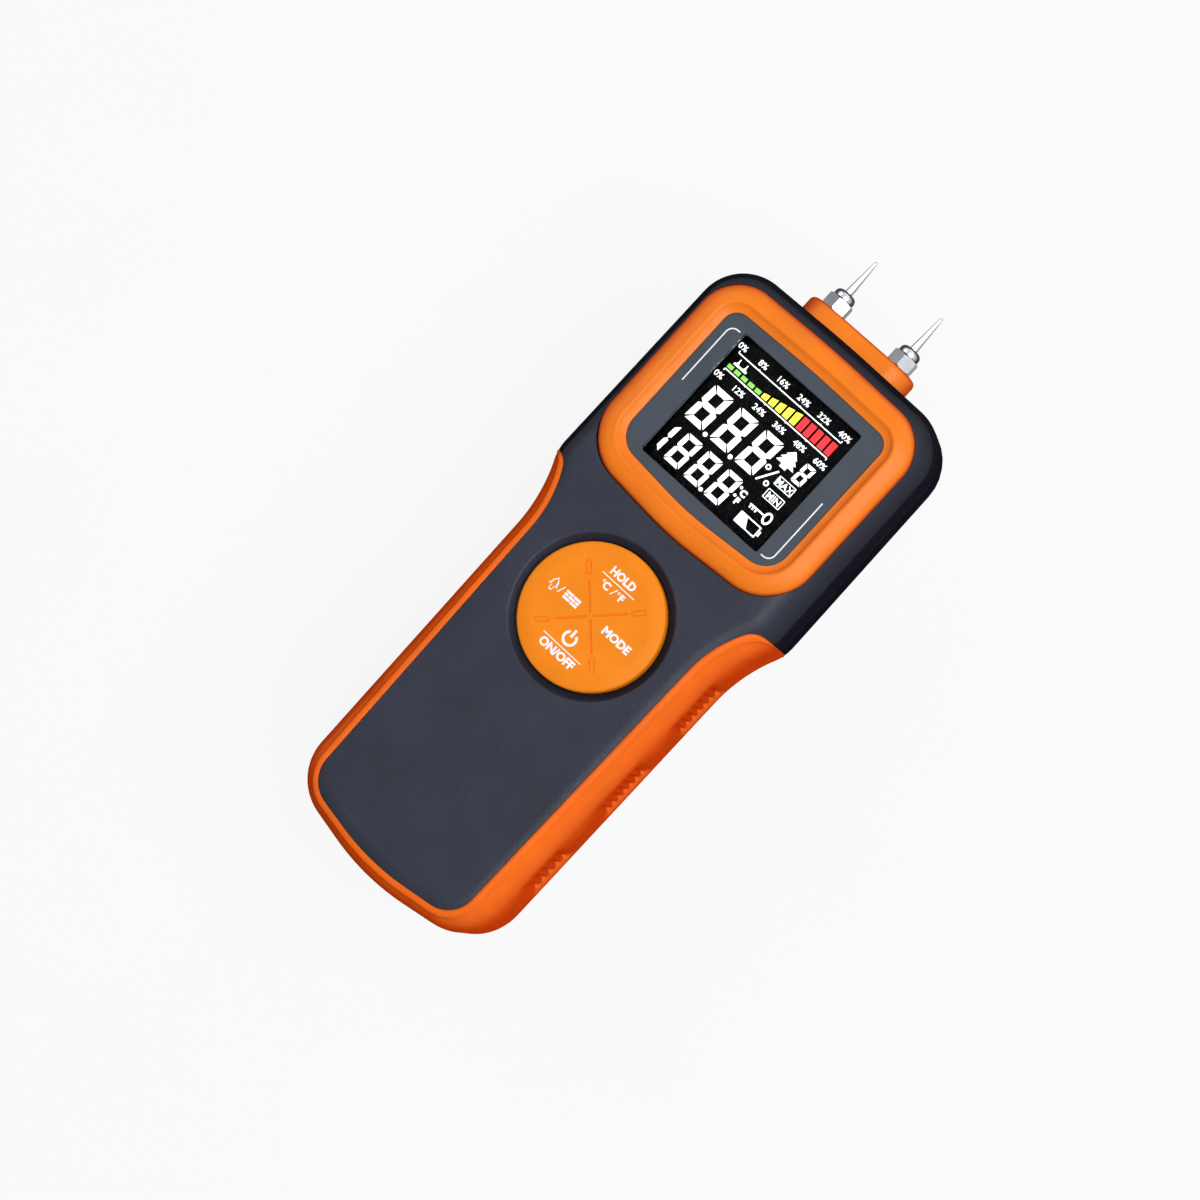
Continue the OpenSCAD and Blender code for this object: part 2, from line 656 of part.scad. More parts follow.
module electrode_sockets() color(brass) placed() for (s = [-1, 1]) {
    along_y(socket_y, s * pin_pitch / 2) cylinder(d = socket_d, h = boss_top - seat_gap - socket_y);
    along_y(boss_top - seat_gap - eps, s * pin_pitch / 2)
        cylinder(d = stud_d, h = stud_top - boss_top + seat_gap + eps);
}

module electrode_tabs() color(brass) placed() for (s = [-1, 1]) translate([s * pin_pitch / 2 - 1.5, 0, 0]) {
    translate([0, socket_y - 0.5, split_z - 2]) cube([3, 0.5, pcb_bottom - split_z + 2]);
    translate([0, socket_y - 6, pcb_bottom - 0.5]) cube([3, 6, 0.5]);
}

module needle(x) color(steel) placed() along_y(0, x) rotate_extrude() polygon(concat(
    [[0, collar_y], [collar_d / 2, collar_y], [collar_d / 2, collar_y + collar_t],
     [needle_d / 2, collar_y + collar_t], [needle_d / 2, nut_top + 0.3], [tip_r, total_l - tip_r]],
    [for (t = [30:30:90]) [tip_r * cos(t), total_l - tip_r + tip_r * sin(t)]]));
module left_needle() needle(-pin_pitch / 2);
module right_needle() needle(pin_pitch / 2);

module nut(x) color(steel) placed() along_y(boss_top, x) difference() {
    union() {
        intersection() {
            rotate(30) translate([0, 0, run_gap])
                cylinder(d = nut_af / cos(30), h = hex_l - run_gap, $fn = 6);
            rotate_extrude() polygon([[0, 0], [nut_af / 2 + 0.1, 0], [nut_af / 2 + 0.5, 0.35],
                [nut_af / 2 + 0.5, hex_l - 0.35], [nut_af / 2 + 0.05, hex_l], [0, hex_l]]);
        }
        rotate_extrude() polygon(concat([[0, hex_l - 0.2], [dome_d / 2, hex_l - 0.2]],
            [for (t = [0:15:90]) [dome_d / 2 - 1.1 + 1.1 * cos(t), nut_l - 1.1 + 1.1 * sin(t)]],
            [[0, nut_l]]));
    }
    translate([0, 0, -1]) cylinder(d = stud_d + 2 * run_gap, h = nut_bore_l + 1);
    translate([0, 0, -1]) cylinder(d = needle_d + 0.2, h = nut_l + 2);
}
module left_nut() nut(-pin_pitch / 2);
module right_nut() nut(pin_pitch / 2);

// ---------- Battery ----------

spring_wire_r = 0.3;
spring_coil_r = 2.6;
spring_turns = 3;
black_start = [-cell_pitch, bay_y + 1.8];
red_start = [cell_pitch, bay_y + bay_l - 1.8];

module battery_door() color(slate) placed() difference() {
    union() {
        translate([0, hinge_y, 0]) block(door_w, door_l - door_t / 2, door_z, bay_floor);
        translate([-door_w / 2, hinge_y, hinge_z]) rotate([0, 90, 0]) cylinder(d = door_t, h = door_w);
        for (s = [-1, 1]) translate([s * tab_x, door_y, 0]) {
            translate([0, -1.8, 0]) block(tab_w, 3, bay_floor + 0.2, bay_floor + 1.2);
            translate([0, 0.2, 0]) block(tab_w, 1, bay_floor - 0.5, bay_floor + 1.2);
        }
    }
    for (k = [0:4]) translate([0, door_y + door_l - 4 - 2 * k, 0]) block(16, 0.8, door_z - 1, door_z + 0.3);
}

// A cell with its plus end towards +Y, or towards -Y where turn is 180
module cell(x, turn) color([0.2, 0.45, 0.3]) placed() {
    spring_end = turn == 0 ? 0 : 1;
    y = bay_y + plate_t + (spring_end == 0 ? spring_l : 0) + 0.1;
    translate([x, y + cell_l / 2, cell_z]) rotate(turn) rotate([-90, 0, 0]) translate([0, 0, -cell_l / 2]) {
        cylinder(d = cell_d, h = cell_l - 1);
        cylinder(d = 3.8, h = cell_l);
    }
}
module battery_1() cell(-cell_pitch, 0);
module battery_2() cell(0, 180);
module battery_3() cell(cell_pitch, 0);

module spring(x, y0, y1) tube(
    [for (k = [0:10 * spring_turns]) let (f = k / (10 * spring_turns), r = spring_coil_r - 0.8 * f)
        [x + r * cos(36 * k), y0 + (y1 - y0) * f, cell_z + r * sin(36 * k)]], spring_wire_r, 6, [0, 1, 0]);

module battery_springs() color(steel) placed() {
    near = bay_y + plate_t + spring_wire_r;
    far = bay_y + bay_l - plate_t - spring_wire_r;
    length = spring_l - 2 * spring_wire_r - 0.1;
    for (s = [-1, 1]) spring(s * cell_pitch, near, near + length);
    spring(0, far, far - length);
}

module battery_plates() color(steel) placed() {
    for (p = [[-cell_pitch, 10, bay_y], [cell_pitch / 2, 21, bay_y],
              [-cell_pitch / 2, 21, bay_y + bay_l - plate_t], [cell_pitch, 10, bay_y + bay_l - plate_t]])
        translate([p[0] - p[1] / 2, p[2], bay_floor + 1.4]) cube([p[1], plate_t, bay_top - bay_floor - 1.6]);
}

module lead(start, way) placed() {
    foot = [start[0], way > 0 ? bay_y + plate_t + 0.65 : bay_y + bay_l - plate_t - 0.65, bay_top - 0.9];
    lift = [0, 0, 4];
    top = [start[0] + way * 3, start[1] + way * 6, pcb_bottom - 0.1];
    tube([for (t = [0:0.1:1]) bend(foot, lift, top, lift / 1.5, t)], 0.6, 8, [1, 0, 0]);
}
module battery_lead_red() color([0.8, 0.1, 0.1]) lead(red_start, -1);
module battery_lead_black() color(black) lead(black_start, 1);

front_shell();
back_shell();
grip_sleeve();
display_bezel();
display_lens();
lens_mask();
lcd_panel();
lcd_holder();
backlight();
lcd_connectors();
main_pcb();
pcb_components();
buzzer();
switch_bodies();
plunger_top();
plunger_right();
plunger_bottom();
plunger_left();
pad_cap();
pad_gimbal();
electrode_head();
electrode_sockets();
electrode_tabs();
left_needle();
right_needle();
left_nut();
right_nut();
battery_door();
battery_1();
battery_2();
battery_3();
battery_springs();
battery_plates();
battery_lead_red();
battery_lead_black();
case_screws();
pcb_screws();
blank_label();
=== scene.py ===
"""Looks of a handheld two-pin moisture meter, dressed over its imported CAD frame.

The meter lies on its back: X is right, Y runs to the needle tips and Z comes out of the display. Sizes are
in millimetres, and every Y is counted from the foot of the case; a piece is scaled to metres when its mesh
is made. Each sub-assembly is a class with its own sizes, its meshes and its finishes.
"""

import sys
import logging
import math
from dataclasses import dataclass
from enum import Enum
from typing import Callable, Iterable, Sequence

import bmesh
import bpy
from mathutils import Matrix, Vector
from mathutils.kdtree import KDTree


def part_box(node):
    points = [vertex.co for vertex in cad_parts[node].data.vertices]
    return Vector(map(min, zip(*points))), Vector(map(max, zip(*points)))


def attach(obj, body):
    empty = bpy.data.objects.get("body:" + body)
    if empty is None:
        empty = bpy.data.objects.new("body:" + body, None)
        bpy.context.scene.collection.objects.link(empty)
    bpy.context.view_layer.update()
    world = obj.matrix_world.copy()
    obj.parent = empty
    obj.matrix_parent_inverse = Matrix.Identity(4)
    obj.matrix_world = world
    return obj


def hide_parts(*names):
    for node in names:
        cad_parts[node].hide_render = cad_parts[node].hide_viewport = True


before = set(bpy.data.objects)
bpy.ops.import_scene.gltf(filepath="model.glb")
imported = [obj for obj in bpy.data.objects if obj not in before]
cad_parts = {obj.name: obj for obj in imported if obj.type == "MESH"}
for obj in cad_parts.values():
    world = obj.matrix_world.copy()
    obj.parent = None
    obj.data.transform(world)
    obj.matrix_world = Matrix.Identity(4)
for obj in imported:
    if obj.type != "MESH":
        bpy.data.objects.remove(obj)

logging.basicConfig(level=logging.INFO, format="%(levelname)s %(message)s", stream=sys.stdout)
log = logging.getLogger("moisture_meter")

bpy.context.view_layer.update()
MM = 0.001
FOOT_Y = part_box("grip_sleeve")[0].y / MM
TAU = 2 * math.pi
CAPITAL = 0.729  # height of a capital in the plain type, as a share of its size

Flat = tuple[float, float]
Solid = tuple[float, float, float]
Colour = tuple[float, float, float]


# ---------- Measuring ----------


def to_frame(point: Sequence[float]) -> Vector:
    """Turns a place in millimetres from the foot into metres in the shared frame."""
    return Vector((point[0] * MM, (point[1] + FOOT_Y) * MM, point[2] * MM))


def smooth_step(low: float, high: float, value: float) -> float:
    """Rises smoothly from 0 at low to 1 at high."""
    share = min(max((value - low) / (high - low), 0.0), 1.0)
    return share * share * (3 - 2 * share)


def linear(colour: Colour) -> Colour:
    """Turns an sRGB colour into linear light."""
    return tuple(c / 12.92 if c <= 0.04045 else ((c + 0.055) / 1.055) ** 2.4 for c in colour)


# ---------- Outlines ----------


def round_corner(before: Flat, corner: Flat, after: Flat, radius: float, steps: int) -> list[Flat]:
    """Rounds a corner of an outline with an arc.

    Args:
        before: Outline point before the corner.
        corner: The sharp corner.
        after: Outline point after the corner.
        radius: Radius of the arc.
        steps: Number of pieces of the arc.

    Returns:
        The points of the arc, from the side of before to the side of after.
    """
    b = Vector(corner)
    u, v = (Vector(before) - b).normalized(), (Vector(after) - b).normalized()
    half = math.acos(max(-1.0, min(1.0, u.dot(v)))) / 2
    middle = b + (u + v).normalized() * (radius / math.sin(half))
    start = b + u * (radius / math.tan(half)) - middle
    sweep = (1 if u.x * v.y - u.y * v.x < 0 else -1) * (math.pi - 2 * half)
    begin = math.atan2(start.y, start.x)
    angles = [begin + sweep * i / steps for i in range(steps + 1)]
    return [(middle.x + radius * math.cos(a), middle.y + radius * math.sin(a)) for a in angles]


def mirrored_outline(corners: Sequence[tuple[float, float, float, int]]) -> list[Flat]:
    """Makes a closed outline from its right half.

    Args:
        corners: The right half from foot to top, each corner as x, y, radius and steps of its round.

    Returns:
        The points of the whole outline, up the right side and down the left.
    """
    count = len(corners)
    half: list[Flat] = []
    for i, (x, y, radius, steps) in enumerate(corners):
        before = (-corners[1][0], corners[1][1]) if i == 0 else corners[i - 1][:2]
        after = (-corners[-2][0], corners[-2][1]) if i == count - 1 else corners[i + 1][:2]
        arc = round_corner(before, (x, y), after, radius, steps) if radius > 0 else [(x, y)]
        half += [p for p in arc if p[0] > 0.01]
    return half + [(-x, y) for x, y in reversed(half)]


def crown(radius: float, slope: float) -> float:
    """Tells how far an arc stays short of its corner on the centre line, for a slope in degrees."""
    return radius * (1 / math.cos(math.radians(slope)) - 1)


def rise(width: float, arc: Flat) -> float:
    """Tells how far an edge with an arc of a radius and a slope has moved at a distance from the middle."""
    return width * math.tan(math.radians(arc[1]))


def subdivide(ring: Sequence[Flat], step: Callable[[float, float], float]) -> list[Flat]:
    """Adds points to the long pieces of a closed outline.

    Args:
        ring: The outline.
        step: Gives the longest piece wanted at a place (x, y).

    Returns:
        The outline with its old points and the added ones.
    """
    dense: list[Flat] = []
    for (x0, y0), (x1, y1) in zip(ring, [*ring[1:], ring[0]]):
        pieces = max(1, math.ceil(math.dist((x0, y0), (x1, y1)) / step((x0 + x1) / 2, (y0 + y1) / 2)))
        dense += [(x0 + (x1 - x0) * k / pieces, y0 + (y1 - y0) * k / pieces) for k in range(pieces)]
    return dense


def inward(ring: Sequence[Flat]) -> list[Flat]:
    """Gives the unit vector into a closed outline at each of its points."""
    count = len(ring)
    ways: list[Flat] = []
    for i in range(count):
        (x0, y0), (x1, y1) = ring[i - 1], ring[(i + 1) % count]
        length = math.dist((x0, y0), (x1, y1))
        ways.append((-(y1 - y0) / length, (x1 - x0) / length))
    return ways


def inset(ring: Sequence[Flat], depth: float) -> list[Flat]:
    """Moves a closed outline inwards by a depth."""
    return [(x + depth * u, y + depth * v) for (x, y), (u, v) in zip(ring, inward(ring))]


def reach(start: Flat, way: Flat, ring: Sequence[Flat], limit: float) -> float:
    """Measures how far a straight line runs before it meets an outline.

    Args:
        start: Start of the line.
        way: Its direction, as a unit vector.
        ring: The closed outline.
        limit: Answer when the outline is further than this.

    Returns:
        The distance to the outline, at most limit.
    """
    best = limit
    for (x0, y0), (x1, y1) in zip(ring, [*ring[1:], ring[0]]):
        dx, dy = x1 - x0, y1 - y0
        det = way[0] * dy - way[1] * dx
        if abs(det) < 1e-12:
            continue
        rx, ry = x0 - start[0], y0 - start[1]
        along = (rx * dy - ry * dx) / det
        share = (rx * way[1] - ry * way[0]) / det
        if 0 <= along < best and -1e-9 <= share <= 1 + 1e-9:
            best = along
    return best


def inside(point: Flat, ring: Sequence[Flat]) -> bool:
    """Tells whether a point lies inside a closed outline."""
    x, y = point
    odd = False
    for (x0, y0), (x1, y1) in zip(ring, [*ring[1:], ring[0]]):
        if (y0 > y) != (y1 > y) and x < (x1 - x0) * (y - y0) / (y1 - y0) + x0:
            odd = not odd
    return odd


def sweep(count: int) -> list[float]:
    """Gives evenly spread angles round a circle."""
    return [TAU * i / count for i in range(count)]


def circle(centre: Flat, radius: float, count: int) -> list[Flat]:
    """Gives the points of a circle, counted round from the right."""
    return [(centre[0] + radius * math.cos(a), centre[1] + radius * math.sin(a)) for a in sweep(count)]


def rounded_box(centre: Flat, width: float, height: float, radius: float, steps: int = 6) -> list[Flat]:
    """Gives a rectangle with rounded corners, counted round from its lower right corner."""
    points: list[Flat] = []
    for k, (sx, sy) in enumerate(((1, -1), (1, 1), (-1, 1), (-1, -1))):
        start = (-0.5 + 0.5 * k) * math.pi
        x, y = centre[0] + sx * (width / 2 - radius), centre[1] + sy * (height / 2 - radius)
        points += [(x + radius * math.cos(a), y + radius * math.sin(a))
                   for a in (start + math.pi / 2 * i / steps for i in range(steps + 1))]
    return [p for i, p in enumerate(points) if math.dist(p, points[i - 1]) > 1e-6]


def mirrored(half: Sequence[Flat]) -> list[Flat]:
    """Closes the right half of a sign with its mirror image; its last point lies on the middle."""
    return [*half, *[(-x, y) for x, y in reversed(half[:-1])]]


def at_height(ring: Iterable[Flat], z: float) -> list[Solid]:
    """Lays an outline flat at a height."""
    return [(x, y, z) for x, y in ring]


def bent(points: Sequence[Flat], steps: int = 4) -> list[Flat]:
    """Runs a smooth curve through points.

    Args:
        points: The points that the curve passes.
        steps: Number of pieces between two of them.

    Returns:
        The points of the curve.
    """
    curve: list[Flat] = []
    last = len(points) - 1
    for i in range(last):
        p0, p1, p2, p3 = (Vector(points[min(max(k, 0), last)]) for k in (i - 1, i, i + 1, i + 2))
        for k in range(steps):
            t = k / steps
            p = 0.5 * (2 * p1 + (p2 - p0) * t + (2 * p0 - 5 * p1 + 4 * p2 - p3) * t * t
                       + (3 * p1 - p0 - 3 * p2 + p3) * t ** 3)
            curve.append((p.x, p.y))
    return [*curve, tuple(points[last])]


# ---------- Meshes ----------


Ring = Sequence[bmesh.types.BMVert]


class Draft:
    """A mesh under construction, in millimetres from the foot of the case."""

    def __init__(self) -> None:
        """Starts an empty mesh."""
        self.bm = bmesh.new()

    def loop(self, points: Iterable[Solid]) -> list[bmesh.types.BMVert]:
        """Adds points, and gives them back as vertices."""
        return [self.bm.verts.new(to_frame(p)) for p in points]

    def bridge(self, first: Ring, second: Ring) -> None:
        """Joins two rings of equal length with a strip of faces."""
        for i in range(len(first)):
            j = (i + 1) % len(first)
            unique = list(dict.fromkeys([first[i], first[j], second[j], second[i]]))
            if len(unique) > 2:
                self.bm.faces.new(unique)

    def skin(self, rings: Iterable[Iterable[Solid]], closed: bool = False) -> list[list[bmesh.types.BMVert]]:
        """Joins rings of equal length into a skin.

        Args:
            rings: The rings, each as a list of points.
            closed: Whether the last ring is joined to the first.

        Returns:
            The rings of vertices.
        """
        rows = [self.loop(ring) for ring in rings]
        for a, b in zip(rows, [*rows[1:], rows[0]] if closed else rows[1:]):
            self.bridge(a, b)
        return rows

    def fill(self, *loops: Ring) -> None:
        """Fills the area between an outer ring and the holes in it."""
        edges = []
        for loop in loops:
            for a, b in zip(loop, [*loop[1:], loop[0]]):
                edges.append(self.bm.edges.get((a, b)) or self.bm.edges.new((a, b)))
        bmesh.ops.triangle_fill(self.bm, use_beauty=True, use_dissolve=False, edges=edges)

    def prism(self, ring: Sequence[Flat], low: float, high: float, edge: float = 0.0) -> None:
        """Adds a flat solid of any outline.

        Args:
            ring: The outline.
            low: Height of the bottom.
            high: Height of the top.
            edge: Size of the bevel round the top.
        """
        levels = [(ring, low), *([(ring, high - edge)] if edge else []), (inset(ring, edge), high)]
        rows = self.skin(at_height(*level) for level in levels)
        self.fill(rows[0])
        self.fill(rows[-1])

    def slab(self, rings: Sequence[Sequence[Flat]], low: float, high: float) -> None:
        """Adds a flat solid between two heights: its outline comes first, and then those of its holes."""
        rows = [self.skin(at_height(ring, z) for z in (low, high)) for ring in rings]
        for level in (0, 1):
            self.fill(*[row[level] for row in rows])

    def turned(self, profile: Sequence[Flat], place: Solid, along: "Axis", count: int = 64) -> None:
        """Adds a solid of revolution.

        Args:
            profile: Its section as radius and length along the axis; a radius of 0 closes an end.
            place: Point on the axis where the length is 0.
            along: Direction of the axis.
            count: Number of sides.
        """
        rows = []
        for radius, length in profile:
            if radius < 1e-9:
                rows.append([self.bm.verts.new(to_frame(along.put(place, 0, 0, length)))])
                continue
            rows.append(self.loop([along.put(place, radius * math.cos(a), radius * math.sin(a), length)
                                   for a in sweep(count)]))
        for a, b in zip(rows, rows[1:]):
            self.join_turned(a, b)

    def join_turned(self, a: Ring, b: Ring) -> None:
        """Joins two rings of a turned solid, one of which may be a point."""
        if len(a) == len(b):
            self.bridge(a, b)
            return
        point, ring = (a[0], b) if len(a) == 1 else (b[0], a)
        for i in range(len(ring)):
            self.bm.faces.new([point, ring[i], ring[(i + 1) % len(ring)]])

    def done(self, name: str, finish: "Finish", sharp: float = 30.0,
             weighted: bool = False) -> bpy.types.Object:
        """Turns the draft into an object.

        Args:
            name: Name of the piece.
            finish: Finish of its surface.
            sharp: Smallest angle in degrees that is drawn as an edge.
            weighted: Whether large faces set the shading of the edges beside them.

        Returns:
            The new object.
        """
        bmesh.ops.remove_doubles(self.bm, verts=self.bm.verts, dist=2e-7)
        bmesh.ops.dissolve_degenerate(self.bm, edges=self.bm.edges, dist=1e-7)
        bmesh.ops.recalc_face_normals(self.bm, faces=self.bm.faces)
        mesh = bpy.data.meshes.new(name)
        self.bm.to_mesh(mesh)
        self.bm.free()
        piece = linked(name, mesh)
        mesh.materials.append(finish.material())
        shade(piece, sharp, weighted)
        return piece


class Axis(Enum):
    """Direction of the axis of a turned solid."""

    UP = "up"
    TO_TIPS = "to_tips"

    def put(self, place: Solid, across: float, deep: float, length: float) -> Solid:
        """Gives a point from its two offsets across the axis and its length along it."""
        if self is Axis.UP:
            return place[0] + across, place[1] + deep, place[2] + length
        return place[0] + across, place[1] + length, place[2] + deep


def linked(name: str, data: bpy.types.ID) -> bpy.types.Object:
    """Makes an object of a mesh, a lamp, a camera or a line of type, and puts it in the scene."""
    item = bpy.data.objects.new(name, data)
    bpy.context.scene.collection.objects.link(item)
    return item


def shade(piece: bpy.types.Object, sharp: float, weighted: bool = False) -> None:
    """Smooths a mesh, except along edges that turn by more than a sharp angle in degrees."""
    mesh = piece.data
    mesh.polygons.foreach_set("use_smooth", [True] * len(mesh.polygons))
    mesh.set_sharp_from_angle(angle=math.radians(sharp))
    if weighted:
        modifier = piece.modifiers.new("Weighted", "WEIGHTED_NORMAL")
        modifier.keep_sharp = True
    mesh.update()


def carve(piece: bpy.types.Object, cutter: bpy.types.Object) -> None:
    """Cuts one mesh with another, and drops the cutter."""
    modifier = piece.modifiers.new("Carve", "BOOLEAN")
    modifier.solver, modifier.operation, modifier.object = "EXACT", "DIFFERENCE", cutter
    bpy.context.view_layer.update()
    evaluated = piece.evaluated_get(bpy.context.evaluated_depsgraph_get())
    mesh = bpy.data.meshes.new_from_object(evaluated)
    piece.modifiers.remove(modifier)
    old, piece.data = piece.data, mesh
    mesh.name = old.name + "_cut"
    bpy.data.meshes.remove(old)
    bpy.data.objects.remove(cutter)


# ---------- Finishes ----------


Socket = bpy.types.NodeSocket
NOISE_SPAN = (0.3, 0.7)  # where most values of a noise lie
SHINE_SPAN = (0.15, 0.6)  # how far a matt surface turns away while its shine fades out


class Graph:
    """The nodes of one material, with short calls to add and join them."""

    def __init__(self, owner: bpy.types.Material | bpy.types.World,
                 output: str = "ShaderNodeOutputMaterial") -> None:
        """Opens an empty node graph with its output and the place on the object."""
        owner.use_nodes = True
        self.tree = owner.node_tree
        self.tree.nodes.clear()
        self.output = self.add(output)
        self.place = self.add("ShaderNodeTexCoord").outputs["Object"]

    def add(self, kind: str, **settings: object) -> bpy.types.Node:
        """Adds a node and sets its properties."""
        node = self.tree.nodes.new(kind)
        for key, value in settings.items():
            setattr(node, key, value)
        return node

    def join(self, source: Socket, target: Socket) -> None:
        """Joins two sockets."""
        self.tree.links.new(source, target)

    def seen(self) -> Socket:
        """Gives 1 where the eye looks, straight, in a mirror or through glass, and 0 for light."""
        path = self.add("ShaderNodeLightPath")
        value = path.outputs["Is Camera Ray"]
        for name in ("Is Glossy Ray", "Is Transmission Ray"):
            larger = self.add("ShaderNodeMath", operation="MAXIMUM")
            self.join(value, larger.inputs[0])
            self.join(path.outputs[name], larger.inputs[1])
            value = larger.outputs["Value"]
        return value

    def mixed(self, share: Socket, first: Socket, second: Socket) -> Socket:
        """Mixes two shaders by a share of the second."""
        mix = self.add("ShaderNodeMixShader")
        for source, target in zip((share, first, second), mix.inputs):
            self.join(source, target)
        return mix.outputs["Shader"]

    def finish(self, shader: Socket) -> None:
        """Sends a shader to the output."""
        self.join(shader, self.output.inputs["Surface"])

    def stretched(self, stretch: Solid) -> Socket:
        """Gives the place on the object, squeezed along each axis."""
        if stretch == (1, 1, 1):
            return self.place
        mapping = self.add("ShaderNodeMapping")
        self.join(self.place, mapping.inputs["Vector"])
        mapping.inputs["Scale"].default_value = stretch
        return mapping.outputs["Vector"]

    def noise(self, size: float, detail: float, stretch: Solid = (1, 1, 1)) -> Socket:
        """Adds a noise.

        Args:
            size: Size of its blobs in millimetres.
            detail: Number of finer layers.
            stretch: How much it is squeezed along each axis.

        Returns:
            Its value, about 0.5 on average.
        """
        noise = self.add("ShaderNodeTexNoise")
        self.join(self.stretched(stretch), noise.inputs["Vector"])
        noise.inputs["Scale"].default_value = 1 / (size * MM)
        noise.inputs["Detail"].default_value = detail
        return noise.outputs["Fac"]

    def mapped(self, value: Socket, span: Flat, low: float, high: float) -> Socket:
        """Maps a span of a value to the span from low to high."""
        node = self.add("ShaderNodeMapRange")
        self.join(value, node.inputs["Value"])
        for name, number in zip(("From Min", "From Max", "To Min", "To Max"), (*span, low, high)):
            node.inputs[name].default_value = number
        return node.outputs["Result"]

    def ramp(self, value: Socket, span: Flat, colours: Sequence[Colour], easing: str = "LINEAR") -> Socket:
        """Runs from one linear colour to another over a span of a value."""
        ramp = self.add("ShaderNodeValToRGB")
        ramp.color_ramp.interpolation = easing
        self.join(value, ramp.inputs["Fac"])
        for element, spot, colour in zip(ramp.color_ramp.elements, span, colours):
            element.position = spot
            element.color = (*colour, 1.0)
        return ramp.outputs["Color"]

    def aside(self) -> Socket:
        """Tells how far the surface turns away from the eye."""
        weight = self.add("ShaderNodeLayerWeight")
        weight.inputs["Blend"].default_value = 0.5
        return weight.outputs["Facing"]

    def edge_shaded(self, colour: Socket, edge_shade: Colour, span: Flat) -> Socket:
        """Paints shade into a colour where the surface turns away from the eye, so that the sides look
        darker.

        Args:
            colour: The colour of the surface.
            edge_shade: The painted shade, as what the colour is multiplied by where it has turned away.
            span: Where the painted shade starts and where it is full.

        Returns:
            The colour with its painted shade.
        """
        mix = self.add("ShaderNodeMix", data_type="RGBA", blend_type="MULTIPLY")
        mix.inputs["Factor"].default_value = 1.0
        first, second = (socket for socket in mix.inputs if socket.type == "RGBA")
        self.join(colour, first)
        self.join(self.ramp(self.aside(), span, ((1.0, 1.0, 1.0), edge_shade), "EASE"), second)
        return next(socket for socket in mix.outputs if socket.type == "RGBA")

    def between(self, value: Socket, first: Colour, second: Colour) -> Socket:
        """Mixes two sRGB colours by a noise."""
        return self.ramp(value, NOISE_SPAN, (linear(first), linear(second)))


@dataclass(frozen=True)
class Finish:
    """How one kind of surface looks: its colour, its gloss, its grain and a shade painted into its colour
    where it turns away from the eye.
    """

    name: str
    colour: Colour
    rough: Flat = (0.4, 0.5)
    vary: float = 0.05
    vary_size: float = 6.0
    grain_size: float = 0.35
    grain_depth: float = 0.01
    grain_strength: float = 0.3
    stretch: Solid = (1, 1, 1)
    metallic: float = 0.0
    specular: float = 0.5
    coat: float = 0.0
    coat_rough: float = 0.1
    glow: float = 0.0
    through: float = 0.0
    ior: float = 1.5
    # The next two fields paint shade into the colour where the surface turns away from the eye: what the
    # colour is multiplied by there, and where that starts and where it is full.
    edge_shade: Colour = (1.0, 1.0, 1.0)
    edge_shade_from: Flat = (0.12, 0.62)

    def shades(self) -> tuple[Colour, Colour]:
        """Gives the darker and the lighter colour of the surface."""
        low = tuple(max(0.0, c * (1 - self.vary)) for c in self.colour)
        high = tuple(min(1.0, c * (1 + self.vary)) for c in self.colour)
        return low, high

    def material(self) -> bpy.types.Material:
        """Makes the material, or finds it if it was made before.

        Returns:
            A material with procedural colour, painted edge shade, gloss and relief.
        """
        known = bpy.data.materials.get(self.name)
        if known:
            return known
        material = bpy.data.materials.new(self.name)
        graph = Graph(material)
        shader = graph.add("ShaderNodeBsdfPrincipled")
        sockets = shader.inputs
        colour = graph.between(graph.noise(self.vary_size, 3), *self.shades())
        # Painted shade: the colour is multiplied down where the surface turns away from the eye.
        graph.join(graph.edge_shaded(colour, self.edge_shade, self.edge_shade_from), sockets["Base Color"])
        graph.join(graph.mapped(graph.noise(self.grain_size * 4, 3, self.stretch), NOISE_SPAN, *self.rough),
                   sockets["Roughness"])
        shine = sockets["Specular IOR Level"]
        shine.default_value = self.specular
        for name, value in (("Metallic", self.metallic), ("IOR", self.ior), ("Coat Weight", self.coat),
                            ("Coat Roughness", self.coat_rough), ("Transmission Weight", self.through),
                            ("Emission Strength", self.glow),
                            ("Emission Color", (*linear(self.colour), 1.0))):
            sockets[name].default_value = value
        if not (self.metallic or self.through):
            graph.join(graph.mapped(graph.aside(), SHINE_SPAN, self.specular, 0.0), shine)
        self.relief(graph, sockets["Normal"])
        graph.finish(shader.outputs["BSDF"])
        return material

    def relief(self, graph: Graph, normal: Socket) -> None:
        """Adds the grain of the surface to the shader's socket for it."""
        bump = graph.add("ShaderNodeBump")
        bump.inputs["Strength"].default_value = self.grain_strength
        bump.inputs["Distance"].default_value = self.grain_depth * MM
        graph.join(graph.noise(self.grain_size, 2, self.stretch), bump.inputs["Height"])
        graph.join(bump.outputs["Normal"], normal)


